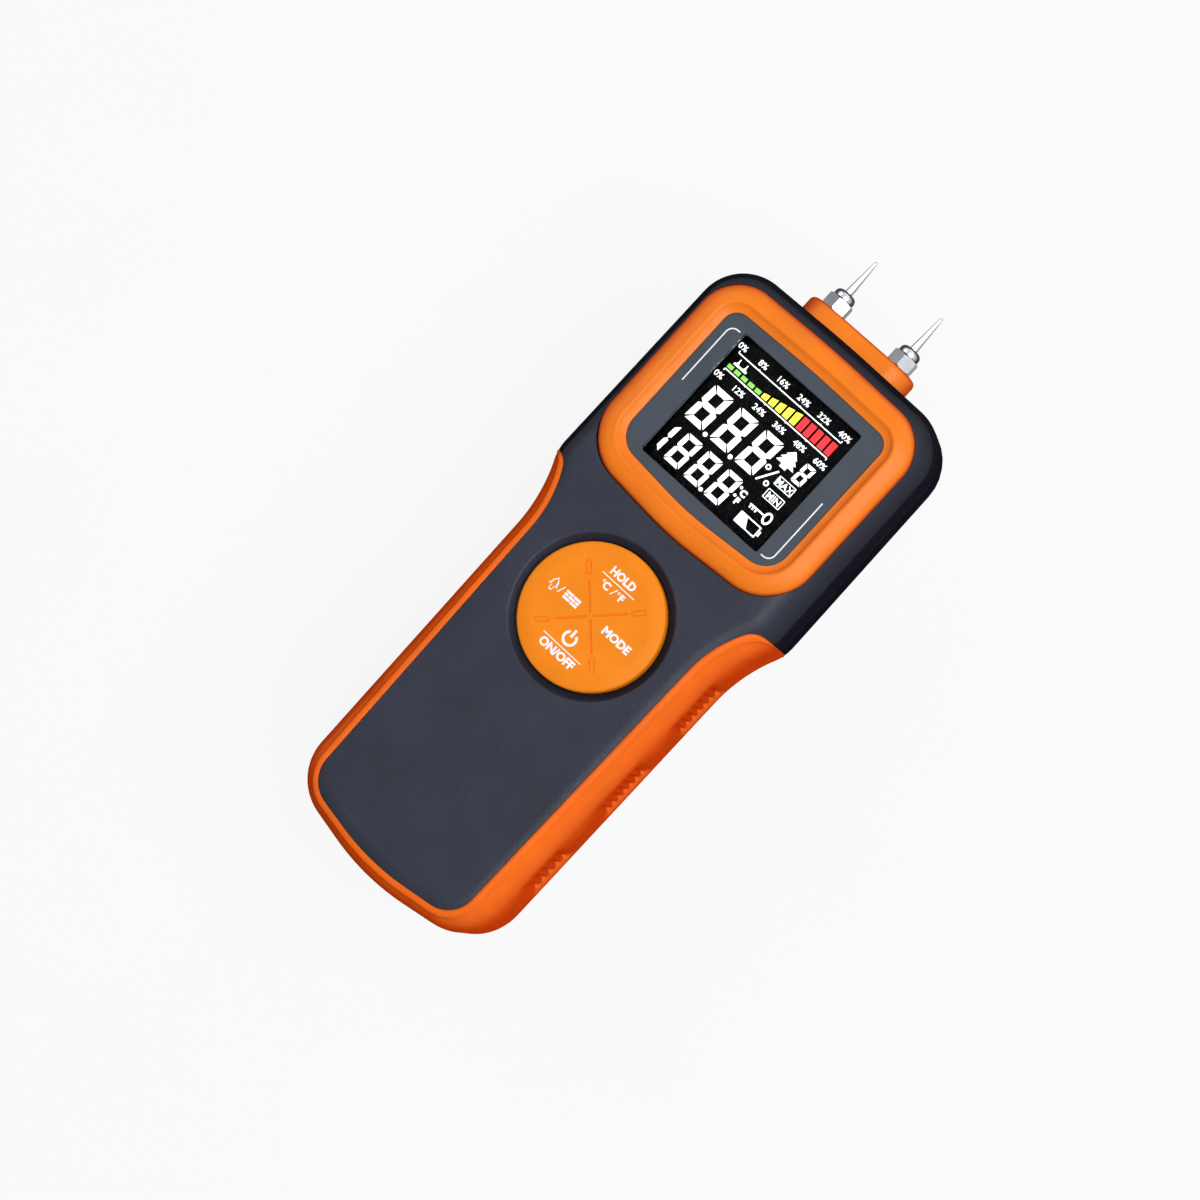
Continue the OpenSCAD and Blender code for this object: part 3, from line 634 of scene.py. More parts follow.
@dataclass(frozen=True)
class FloorFinish:
    """Matt white sheet that reads as white, still shows a soft shadow, and is clear from below."""

    name: str = "White_Floor"
    shade_share: float = 0.12
    colour: Colour = (0.86, 0.86, 0.86)
    lighter: Colour = (0.87, 0.87, 0.87)

    def material(self) -> bpy.types.Material:
        """Makes the material: plain white to the eye, mixed with a matt white that takes the shadow."""
        material = bpy.data.materials.new(self.name)
        graph = Graph(material)
        shader = graph.add("ShaderNodeBsdfPrincipled")
        graph.join(graph.between(graph.noise(40, 2), self.colour, self.lighter), shader.inputs["Base Color"])
        shader.inputs["Roughness"].default_value = 0.9
        shader.inputs["Specular IOR Level"].default_value = 0.1
        white = graph.add("ShaderNodeEmission")
        white.inputs["Strength"].default_value = 1.0
        share = graph.mapped(graph.seen(), (0.0, 1.0), 0.0, 1 - self.shade_share)
        top = graph.mixed(share, shader.outputs["BSDF"], white.outputs["Emission"])
        below = graph.add("ShaderNodeNewGeometry").outputs["Backfacing"]
        graph.finish(graph.mixed(below, top, graph.add("ShaderNodeBsdfTransparent").outputs["BSDF"]))
        return material


# Both slate finishes have shade painted into their colour: they darken where the surface turns away from the
# eye.
SLATE = Finish("Spark_Eroded_Slate", (0.172, 0.184, 0.232), (0.32, 0.46), 0.08, 12, 0.42, 0.12, 0.85,
               specular=0.2, edge_shade=(0.42, 0.38, 0.38), edge_shade_from=(0.06, 0.6))
SLATE_BACK = Finish("Spark_Eroded_Slate_Back", (0.155, 0.163, 0.2), (0.36, 0.5), 0.08, 12, 0.38, 0.08, 0.7,
                    specular=0.15, edge_shade=(0.35, 0.35, 0.38), edge_shade_from=(0.06, 0.6))
# Both orange finishes have shade painted into their colour: they turn darker and redder where the surface
# turns away from the eye.
SOFT_ORANGE = Finish("Soft_Orange_Rubber", (0.96, 0.42, 0.08), (0.42, 0.52), 0.03, 9, 0.3, 0.012,
                     specular=0.15, edge_shade=(0.72, 0.38, 0.6), edge_shade_from=(0.22, 0.85))
HARD_ORANGE = Finish("Satin_Orange_Moulding", (0.965, 0.5, 0.105), (0.3, 0.38), 0.025, 10, 0.3, 0.006, 0.25,
                     specular=0.2, edge_shade=(0.72, 0.36, 0.6), edge_shade_from=(0.04, 0.6))
KEY_ORANGE = Finish("Matt_Orange_Key", (0.965, 0.54, 0.11), (0.45, 0.53), 0.02, 8, 0.25, 0.008, specular=0.1)
BORDER_PRINT = Finish("Printed_Grey_Border", (0.29, 0.318, 0.35), (0.3, 0.38), 0.03, 10, 0.5, 0.003, 0.15,
                      specular=0.1)
# The white print is given a faint glow: painted light on ink that gives out none.
GLOWING_WHITE_PRINT = Finish("White_Print_Painted_Glow", (0.93, 0.94, 0.95), (0.4, 0.5), 0.02, 3, 0.2, 0.003, 0.2, glow=0.12)
CLEAR_PANE = Finish("Clear_Pane", (0.97, 0.98, 0.99), (0.01, 0.03), 0.01, 15, 2.0, 0.002, 0.1,
                    specular=0.3, through=1.0, ior=1.03)
BLACK_FILM = Finish("Black_Mask_Film", (0.03, 0.03, 0.035), (0.45, 0.55), 0.1, 6, 0.3, 0.004, 0.2,
                    specular=0.05)
DISPLAY_GLASS = Finish("Black_Display_Glass", (0.02, 0.02, 0.024), (0.3, 0.38), 0.1, 9, 0.8, 0.002, 0.1,
                       specular=0.05)
LIT = dict(rough=(0.4, 0.5), vary_size=2, grain_size=0.2, grain_depth=0.002, grain_strength=0.1)
CELL_WHITE = Finish("Lit_White", (0.97, 0.97, 0.97), vary=0.01, glow=0.85, **LIT)
CELL_GREEN = Finish("Lit_Green", (0.45, 0.74, 0.25), vary=0.03, glow=0.75, **LIT)
CELL_YELLOW = Finish("Lit_Yellow", (0.97, 0.92, 0.2), vary=0.03, glow=0.8, **LIT)
CELL_RED = Finish("Lit_Red", (0.93, 0.1, 0.12), vary=0.03, glow=0.8, **LIT)
HOLDER_WHITE = Finish("White_Holder_Plastic", (0.86, 0.86, 0.84), (0.5, 0.6), 0.03, 5, 0.3)
ZEBRA = Finish("Zebra_Rubber", (0.72, 0.45, 0.5), (0.6, 0.7), 0.12, 0.4, 0.3, stretch=(6, 1, 1))
BOARD = Finish("Circuit_Board", (0.08, 0.32, 0.18), (0.35, 0.5), 0.18, 2.5, 0.3, 0.02, 0.4)
BLACK_PLASTIC = Finish("Black_Moulding", (0.07, 0.07, 0.075), (0.45, 0.58), 0.1, 3, 0.25, 0.012, 0.35)
STEEL = Finish("Rolled_Steel", (0.66, 0.66, 0.67), (0.22, 0.36), 0.06, 3, 0.25, 0.004, 0.25, (1, 5, 1), 1.0)
# Chrome and needle steel have a dark reflection painted into their colour: they turn nearly black where the
# surface turns away from the eye.
CHROME = Finish("Polished_Chrome", (0.8, 0.81, 0.83), (0.05, 0.1), 0.03, 3, 0.3, 0.002, 0.15, (1, 6, 1), 1.0,
                edge_shade=(0.02, 0.02, 0.025), edge_shade_from=(0.04, 0.45))
GROUND_STEEL = Finish("Ground_Needle_Steel", (0.83, 0.84, 0.85), (0.1, 0.16), 0.03, 2, 0.2, 0.002, 0.2,
                      (1, 8, 1), 1.0, edge_shade=(0.06, 0.06, 0.07))
BRASS = Finish("Turned_Brass", (0.8, 0.63, 0.3), (0.2, 0.32), 0.05, 3, 0.25, 0.003, 0.25, (1, 6, 1), 1.0)
CELL_JACKET = Finish("Blank_Cell_Jacket", (0.22, 0.24, 0.27), (0.22, 0.3), 0.05, 8, 0.5, 0.003, 0.2, coat=0.4)
RED_WIRE = Finish("Red_Wire", (0.72, 0.07, 0.06), (0.35, 0.45), 0.05, 4, 0.3, 0.006)
BLACK_WIRE = Finish("Black_Wire", (0.05, 0.05, 0.055), (0.35, 0.45), 0.1, 4, 0.3, 0.006)
LABEL = Finish("Blank_Label_Film", (0.72, 0.72, 0.73), (0.3, 0.4), 0.02, 8, 0.4, 0.004, 0.25)


class Body(str, Enum):
    """The bodies of the frame."""

    CASE = "case"
    PAD_RING = "pad_ring"
    KEY_PAD = "key_pad"
    LEFT_ELECTRODE = "left_electrode"
    RIGHT_ELECTRODE = "right_electrode"
    LEFT_CLAMP = "left_clamp"
    RIGHT_CLAMP = "right_clamp"
    COVER = "battery_cover"


def settle(piece: bpy.types.Object, body: Body, slot: str, *nodes: str) -> bpy.types.Object:
    """Fixes a piece to its body.

    Args:
        piece: The finished piece.
        body: The body that it moves with.
        slot: Name of a material slot; not used.
        nodes: CAD nodes that it stands for.

    Returns:
        The piece.
    """
    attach(piece, body.value)
    if nodes:
        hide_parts(*nodes)
    log.info("%s: %d faces, rides on %s", piece.name, len(piece.data.polygons), body.value)
    return piece


def dress(finish: Finish, *nodes: str) -> None:
    """Gives CAD nodes a finish."""
    for name in nodes:
        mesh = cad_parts[name].data
        mesh.materials.clear()
        mesh.materials.append(finish.material())
        log.info("%s: %s", name, finish.name)


# ---------- Case ----------


@dataclass(frozen=True)
class Station:
    """One place on the outline of the case, where the shells and the sleeve are measured."""

    x: float
    y: float
    way: Flat
    sleeve: float
    pocket: float

    def at(self, depth: float, height: float) -> Solid:
        """Gives the point at a depth inside the outline and a height above the back."""
        return self.x + depth * self.way[0], self.y + depth * self.way[1], height


@dataclass(frozen=True)
class CaseForm:
    """The outlines and the edge rounds that all pieces of the case share."""

    body_l: float = 161.6
    head_w: float = 68.6
    grip_w: float = 59.2
    thick: float = 31.0
    neck_y: float = 100.4
    foot_taper: float = 0.7
    front_round: Flat = (7.5, 11.0)
    back_round: Flat = (6.0, 8.0)
    plate_w: float = 48.8
    sleeve_t: float = 2.4
    split_z: float = 15.5
    core: Flat = (3.6, 26.5)
    bezel_w: float = 60.6
    bezel_y: Flat = (102.8, 157.9)
    pocket_gap: float = 0.1
    recess_y: Solid = (78.0, 53.3, 28.3)
    foot_arc: Flat = (60, 10.5)
    head_arc: Flat = (300, 1.2)
    corner_r: Flat = (13, 12)
    bezel_arcs: tuple[Flat, Flat] = ((90, 4.5), (300, 1.5))
    bezel_r: Flat = (13, 10.5)

    def body_ring(self) -> list[Flat]:
        """Gives the silhouette of the case, with close points where the sleeve has its relief."""
        gw, hw = self.grip_w / 2, self.head_w / 2
        flare = hw - gw
        foot, top = -crown(*self.foot_arc), self.body_l + crown(*self.head_arc)
        ring = mirrored_outline([
            (0, foot, self.foot_arc[0], 20),
            (gw - self.foot_taper, foot + rise(gw - self.foot_taper, self.foot_arc), self.corner_r[0], 36),
            (gw, self.neck_y - 2.23 * flare, 8.5 * flare, 20),
            (hw, self.neck_y, 2.55 * flare, 14),
            (hw - 0.6, top - rise(hw, self.head_arc), self.corner_r[1], 36),
            (0, top, self.head_arc[0], 20)])
        return subdivide(ring, self.spacing)

    def spacing(self, x: float, y: float) -> float:
        """Tells how close the points of the silhouette lie at a place."""
        if abs(x) > 25 and any(abs(y - c) < 9.5 for c in self.recess_y):
            return 0.27
        return 0.3 if 97.5 < y < 102 else 1.5

    def plate_ring(self) -> list[Flat]:
        """Gives the edge of the bare plate between the sides of the sleeve, open at the head."""
        half = self.plate_w / 2
        lip = self.head_w / 2 - 4.8
        flare = lip - half
        return mirrored_outline([
            (0, 3.7, 60, 16), (half - 1.4, 7.4, 7.5, 20),
            (half, self.neck_y - 0.1 - 1.82 * flare, 5.9 * flare, 16),
            (lip, self.neck_y - 0.1, flare, 10),
            (self.head_w, self.neck_y + 1.6, 0, 0), (self.head_w, self.body_l + 10, 0, 0)])

    def bezel_ring(self) -> list[Flat]:
        """Gives the outer edge of the display bezel."""
        half, (foot_arc, top_arc) = self.bezel_w / 2, self.bezel_arcs
        low, high = self.bezel_y[0] - crown(*foot_arc), self.bezel_y[1] + crown(*top_arc)
        ring = mirrored_outline([
            (0, low, foot_arc[0], 16),
            (half, low + rise(half, foot_arc), self.bezel_r[0], 32),
            (half, high - rise(half, top_arc), self.bezel_r[1], 28),
            (0, high, top_arc[0], 16)])
        return subdivide(ring, lambda x, y: 1.6)

    def stations(self) -> list[Station]:
        """Measures the case all the way round its outline."""
        ring, plate = self.body_ring(), self.plate_ring()
        pocket = inset(self.bezel_ring(), -self.pocket_gap)
        edge = self.front_round[0]
        found = []
        for place, way in zip(ring, inward(ring)):
            sleeve = 0.0 if inside(place, plate) else reach(place, way, plate, 12.0)
            found.append(Station(*place, way, sleeve, reach(place, way, pocket, edge)))
        return found

    def front_z(self, depth: float) -> float:
        """Gives the height of the front surface at a depth inside the outline."""
        width, height = self.front_round
        share = max(0.0, 1 - depth / width)
        return self.thick - height * (1 - math.sqrt(1 - share * share))

    def back_z(self, depth: float) -> float:
        """Gives the height of the back surface at a depth inside the outline."""
        width, height = self.back_round
        share = max(0.0, 1 - depth / width)
        return height * (1 - math.sqrt(1 - share * share))

    def front_depths(self, start: float, end: float, steps: int) -> list[float]:
        """Gives the depths of points evenly spread over the front round, from start to end."""
        width = self.front_round[0]
        first = math.acos(max(0.0, 1 - start / width))
        last = math.acos(max(0.0, 1 - end / width))
        return [start if i == 0 else end if i == steps else
                width * (1 - math.cos(first + (last - first) * i / steps)) for i in range(steps + 1)]


@dataclass
class FrontShell:
    """The slate front shell: the key plate with its dished ring, and the head round the display."""

    form: CaseForm
    stations: list[Station]
    pad_y: float = 77.8
    dish_r: float = 19.2
    hole_r: float = 17.35
    dish_z: float = 29.4
    ceiling: float = 27.0
    wall: float = 4.4
    seat_z: float = 29.0
    window: Flat = (37.5, 36.7)
    seam: float = 0.25
    round_steps: int = 16

    def profile(self, s: Station) -> list[Solid]:
        """Gives the outer skin at a station, from the seam up to the plate or the bezel."""
        form = self.form
        side = min(form.sleeve_t, s.sleeve)
        top = form.front_z(s.sleeve)
        seam = self.seam if s.sleeve < form.sleeve_t else 0.0
        points = [s.at(side + seam, form.split_z), s.at(side, form.split_z + seam),
                  s.at(side, min(form.core[1], top)), s.at(s.sleeve, min(form.core[1], top))]
        end = max(s.sleeve, s.pocket)
        points += [s.at(d, form.front_z(d)) for d in form.front_depths(s.sleeve, end, self.round_steps)]
        return points

    def build(self) -> bpy.types.Object:
        """Makes the shell as one closed mesh."""
        draft = Draft()
        columns = [draft.loop(self.profile(s)) for s in self.stations]
        rows = list(zip(*columns))
        for a, b in zip(rows, rows[1:]):
            draft.bridge(a, b)
        pocket, plate = self.borders(draft, rows[-1])
        dish = self.dish(draft)
        draft.fill(plate, dish[0])
        seat = draft.loop([(v.co.x / MM, v.co.y / MM - FOOT_Y, self.seat_z) for v in pocket])
        draft.bridge(pocket, seat)
        inner_low = draft.loop([s.at(self.wall, self.form.split_z) for s in self.stations])
        inner_top = draft.loop([s.at(self.wall, self.ceiling) for s in self.stations])
        draft.bridge(rows[0], inner_low)
        draft.bridge(inner_low, inner_top)
        box = rounded_box((0, sum(self.form.bezel_y) / 2), *self.window, 1.0)
        window = draft.skin(at_height(box, z) for z in (self.seat_z, self.ceiling))
        draft.fill(seat, window[0])
        draft.fill(inner_top, window[1], dish[-1])
        return draft.done("Front_Half", SLATE, 34, True)

    def borders(self, draft: Draft, top: Sequence[bmesh.types.BMVert]) -> tuple[list, list]:
        """Finds the edge of the bezel pocket and the edge of the flat plate.

        Args:
            draft: The mesh.
            top: The last vertex of each station.

        Returns:
            The ring of the pocket's upper edge, and the ring round the flat plate.
        """
        form, edge = self.form, self.form.front_round[0]
        head = [i for i, s in enumerate(self.stations) if s.sleeve == 0 and s.pocket < edge - 0.02]
        right, left = head[0], head[-1]
        limit = top[right].co.y / MM - FOOT_Y
        lower = [p for p in inset(form.bezel_ring(), -form.pocket_gap) if p[1] < limit - 0.3]
        lower.sort(key=lambda p: p[0])
        bottom = draft.loop(at_height(lower, form.thick))
        return [*top[right:left + 1], *bottom], [*top[left:], *top[:right + 1], *bottom[::-1]]

    def dish(self, draft: Draft) -> list[list[bmesh.types.BMVert]]:
        """Makes the dished ring and the hole for the key pad, from the plate down."""
        thick, hole, low = self.form.thick, self.hole_r, self.dish_z
        steps = [(self.dish_r + 0.25, thick), (self.dish_r - 0.05, thick - 0.06),
                 (self.dish_r - 0.35, thick - 0.3), (hole + 0.25, low + 0.12), (hole + 0.05, low - 0.05),
                 (hole, low - 0.3), (hole, self.ceiling)]
        return draft.skin(at_height(circle((0, self.pad_y), r, 144), z) for r, z in steps)

    def dress(self) -> None:
        """Builds the shell and sets it on the case."""
        settle(self.build(), Body.CASE, "slate_plastic", "front_shell")


@dataclass
class GripSleeve:
    """The soft orange sleeve round the sides and the foot of the grip."""

    form: CaseForm
    stations: list[Station]
    edge_gap: float = 0.1
    edge_drop: float = 0.45
    bead_at: float = 1.25
    bead_rise: float = 0.28
    bead_width: float = 0.55
    recess_depth: float = 0.75
    recess_half: Solid = (8.2, 8.6, 7.6)
    recess_z: Flat = (7.5, 23.5)
    groove_z: Flat = (9.5, 20.5)
    groove_depth: float = 0.75
    groove_pitch: Solid = (1.9, 1.9, 2.3)
    bulge: float = 0.3
    row_steps: int = 18
    side_steps: int = 26

    def relief(self, s: Station, z: float) -> float:
        """Tells how deep the finger recesses and their grooves are at a place on the side."""
        band = smooth_step(0, 3.0, z - self.recess_z[0]) * smooth_step(0, 3.0, self.recess_z[1] - z)
        lines = smooth_step(0, 1.2, z - self.groove_z[0]) * smooth_step(0, 1.2, self.groove_z[1] - z)
        if abs(s.x) < 25 or band == 0:
            return 0.0
        deep, near = 0.0, 0.0
        for centre, half, pitch in zip(self.form.recess_y, self.recess_half, self.groove_pitch):
            off = abs(s.y - centre)
            pocket = smooth_step(0, 2.6, half - off)
            near = max(near, smooth_step(0, 5.5, half + 4.5 - off))
            wave = 0.5 + 0.5 * math.cos(TAU * (s.y - centre) / pitch)
            ends = smooth_step(0, 0.5, half - 1.2 - off)
            deep = max(deep, pocket * self.recess_depth + ends * lines * self.groove_depth * wave ** 2)
        swell = self.bulge * (1 - near) * smooth_step(12, 20, s.y) * smooth_step(0, 8, 96 - s.y)
        return band * (deep - swell)

    def bead(self, s: Station, from_edge: float) -> float:
        """Tells how far the surface stands up at a distance from the edge of the plate."""
        small = min(1.0, s.sleeve / 3.0)
        rise = self.bead_rise * math.exp(-((from_edge - self.bead_at) / self.bead_width) ** 2)
        drop = self.edge_drop * math.exp(-(from_edge / 0.3) ** 2)
        return small * (rise - drop)

    def rounded(self, s: Station, depth: float, front: bool) -> Solid:
        """Gives a point on the front or the back round of the sleeve, with its bead and recess."""
        form = self.form
        width, height = form.front_round if front else form.back_round
        z = form.front_z(depth) if front else form.back_z(depth)
        share = max(0.0, 1 - depth / width)
        across, up = share / width, math.sqrt(1 - share * share) / height
        length = math.hypot(across, up)
        across, up = across / length, up / length * (1 if front else -1)
        lift = self.bead(s, s.sleeve - depth) - self.relief(s, z)
        return s.at(depth - lift * across, max(0.0, z + lift * up))

    def section(self, s: Station) -> list[Solid]:
        """Gives the closed section of the sleeve at a station."""
        form, steps = self.form, self.row_steps
        width = max(s.sleeve - self.edge_gap, 0.0)
        shares = [(i / steps) ** 1.25 for i in range(steps + 1)]
        front = [self.rounded(s, width * (1 - share), True) for share in shares]
        top, low = form.thick - form.front_round[1], form.back_round[1]
        side = [top + (low - top) * i / self.side_steps for i in range(1, self.side_steps)]
        walls = [s.at(self.relief(s, z), z) for z in side]
        back = [self.rounded(s, width * share, False) for share in (1 - q for q in reversed(shares))]
        core = min(form.sleeve_t, width)
        high_z = min(form.core[1], front[0][2] - 0.2)
        low_z = max(form.core[0], back[-1][2] + 0.2)
        inner = [s.at(width, low_z), s.at(core, low_z), s.at(core, high_z), s.at(width, high_z)]
        return front + walls + back + inner

    def build(self) -> bpy.types.Object:
        """Makes the sleeve as one closed mesh."""
        draft = Draft()
        covered = [s for s in self.stations if s.sleeve > 0.02]
        places = [(s.x, s.y) for s in covered]
        cut = max(range(len(covered)), key=lambda i: math.dist(places[i], places[i - 1]))
        rows = draft.skin(self.section(s) for s in covered[cut:] + covered[:cut])
        for end in (rows[0], rows[-1]):
            draft.bm.faces.new(end)
        return draft.done("Grip_Sleeve", SOFT_ORANGE, 40)

    def dress(self) -> None:
        """Builds the sleeve and sets it on the case."""
        settle(self.build(), Body.CASE, "soft_orange", "grip_sleeve")


# ---------- Display ----------


@dataclass
class DisplayFrame:
    """The orange bezel, the printed border with its two corner lines, the clear pane and the mask."""

    form: CaseForm
    proud: float = 32.5
    seat_z: float = 29.0
    lens_inset: float = 5.75
    lip_inset: float = 6.75
    lens_z: Flat = (29.2, 30.9)
    window: Flat = (35.5, 34.7)
    line_w: float = 0.3
    corner_r: float = 1.9

    @property
    def middle(self) -> float:
        """Gives the height of the display along the case."""
        return sum(self.form.bezel_y) / 2

    def bezel(self) -> bpy.types.Object:
        """Lofts the bezel: an outer slope, a crest and a slope down to the lens."""
        top, lens = self.proud, self.lens_z[1]
        crest = bent([(0.0, 29.75), (0.2, 30.45), (0.85, 31.2), (2.2, 31.95), (3.6, top - 0.13), (4.2, top),
                      (4.6, top - 0.1), (5.3, 31.9), (6.2, 31.45), (self.lip_inset - 0.1, lens + 0.4),
                      (self.lip_inset, lens + 0.25)])
        section = [(0.0, self.seat_z), *crest, (self.lip_inset, lens + 0.15),
                   (self.lens_inset - 0.1, lens + 0.15), (self.lens_inset - 0.1, self.seat_z)]
        ring = self.form.bezel_ring()
        draft = Draft()
        draft.skin([at_height(inset(ring, depth), z) for depth, z in section], closed=True)
        return draft.done("Display_Bezel", HARD_ORANGE, 50)

    def border(self) -> bpy.types.Object:
        """Makes the printed part of the lens, open at the window."""
        low, high = self.lens_z
        outer = self.form.bezel_ring()
        box = rounded_box((0, self.middle), *self.window, 0.6)
        draft = Draft()
        sides = [(self.lens_inset, low), (self.lens_inset, high - 0.15), (self.lens_inset + 0.15, high)]
        rims = [(0, low), (0, high - 0.12), (-0.1, high - 0.02), (-0.18, high)]
        rows = draft.skin(at_height(inset(outer, d), z) for d, z in sides)
        holes = draft.skin(at_height(inset(box, d), z) for d, z in rims)
        draft.fill(rows[0], holes[0])
        draft.fill(rows[-1], holes[-1])
        return draft.done("Lens_Border", BORDER_PRINT, 30, True)

    def pane(self) -> bpy.types.Object:
        """Makes the clear window of the lens."""
        high = self.lens_z[1]
        draft = Draft()
        box = rounded_box((0, self.middle), self.window[0] - 0.04, self.window[1] - 0.04, 0.6)
        draft.prism(box, high - 0.4, high - 0.03, 0.05)
        return draft.done("Lens_Window", CLEAR_PANE, 30, True)

    def corner_line(self, start: Flat, corner: Flat, end: Flat) -> list[Flat]:
        """Gives the outline of a thin line that turns one rounded corner.

        Args:
            start: One end, from the middle of the display.
            corner: The sharp corner.
            end: The other end.

        Returns:
            The outline of the line.
        """
        path = [start, *round_corner(start, corner, end, self.corner_r, 10), end]
        ways = []
        for i in range(len(path)):
            a, b = path[max(i - 1, 0)], path[min(i + 1, len(path) - 1)]
            length = math.dist(a, b)
            ways.append((-(b[1] - a[1]) / length, (b[0] - a[0]) / length))
        sides = [[(x + off * u, y + self.middle + off * v) for (x, y), (u, v) in zip(path, ways)]
                 for off in (-self.line_w / 2, self.line_w / 2)]
        return sides[0] + sides[1][::-1]

    def lines(self) -> bpy.types.Object:
        """Prints the two corner lines on the border."""
        draft = Draft()
        top = self.lens_z[1]
        for sign, away, long_way, near in ((-1, 21.3, 0.2, 16.7), (1, 21.4, -0.5, 16.9)):
            ends = ((away - 2.6, -near), (away, -near), (away, -long_way))
            draft.prism(self.corner_line(*[(sign * x, sign * y) for x, y in ends]), top - 0.01, top + 0.025)
        return draft.done("Border_Lines", GLOWING_WHITE_PRINT, 30)

    def mask(self) -> bpy.types.Object:
        """Makes the black film behind the border."""
        draft = Draft()
        outer = inset(self.form.bezel_ring(), self.lens_inset)
        box = rounded_box((0, self.middle), *self.window, 0.5)
        draft.slab((outer, box), self.seat_z, self.lens_z[0] - 0.01)
        return draft.done("Mask_Film", BLACK_FILM, 30)

    def dress(self) -> None:
        """Builds the display's frame and sets it on the case."""
        settle(self.bezel(), Body.CASE, "orange_plastic", "display_bezel")
        for piece in (self.border(), self.pane()):
            settle(piece, Body.CASE, "clear_lens", "display_lens")
        settle(self.lines(), Body.CASE, "clear_lens")
        settle(self.mask(), Body.CASE, "black_print", "lens_mask")


class Segment(Enum):
    """The seven bars of a figure."""

    TOP = "a"
    TOP_RIGHT = "b"
    LOW_RIGHT = "c"
    LOW = "d"
    LOW_LEFT = "e"
    TOP_LEFT = "f"
    MIDDLE = "g"


def lettering(text: str, place: Flat, height: float, bold: float, squeeze: float) -> list[tuple[Flat, ...]]:
    """Sets a line of plain type as flat triangles.

    Args:
        text: The characters.
        place: Middle of the line.
        height: Height of its capitals in millimetres.
        bold: How far each stroke grows, as a share of the type size.
        squeeze: Width of the type as a share of its normal width.

    Returns:
        The triangles, each as three points.
    """
    curve = bpy.data.curves.new("type", "FONT")
    curve.body, curve.offset, curve.resolution_u = text, bold, 3
    carrier = linked("type", curve)
    bpy.context.view_layer.update()
    mesh = bpy.data.meshes.new_from_object(carrier.evaluated_get(bpy.context.evaluated_depsgraph_get()))
    bpy.data.objects.remove(carrier)
    bpy.data.curves.remove(curve)
    xs, ys = [v.co.x for v in mesh.vertices], [v.co.y for v in mesh.vertices]
    scale = height / CAPITAL
    mid_x, mid_y = (min(xs) + max(xs)) / 2, CAPITAL / 2
    mesh.calc_loop_triangles()
    faces = []
    for triangle in mesh.loop_triangles:
        corners = [mesh.vertices[i].co for i in triangle.vertices]
        faces.append(tuple((place[0] + (c.x - mid_x) * scale * squeeze, place[1] + (c.y - mid_y) * scale)
                           for c in corners))
    bpy.data.meshes.remove(mesh)
    return faces


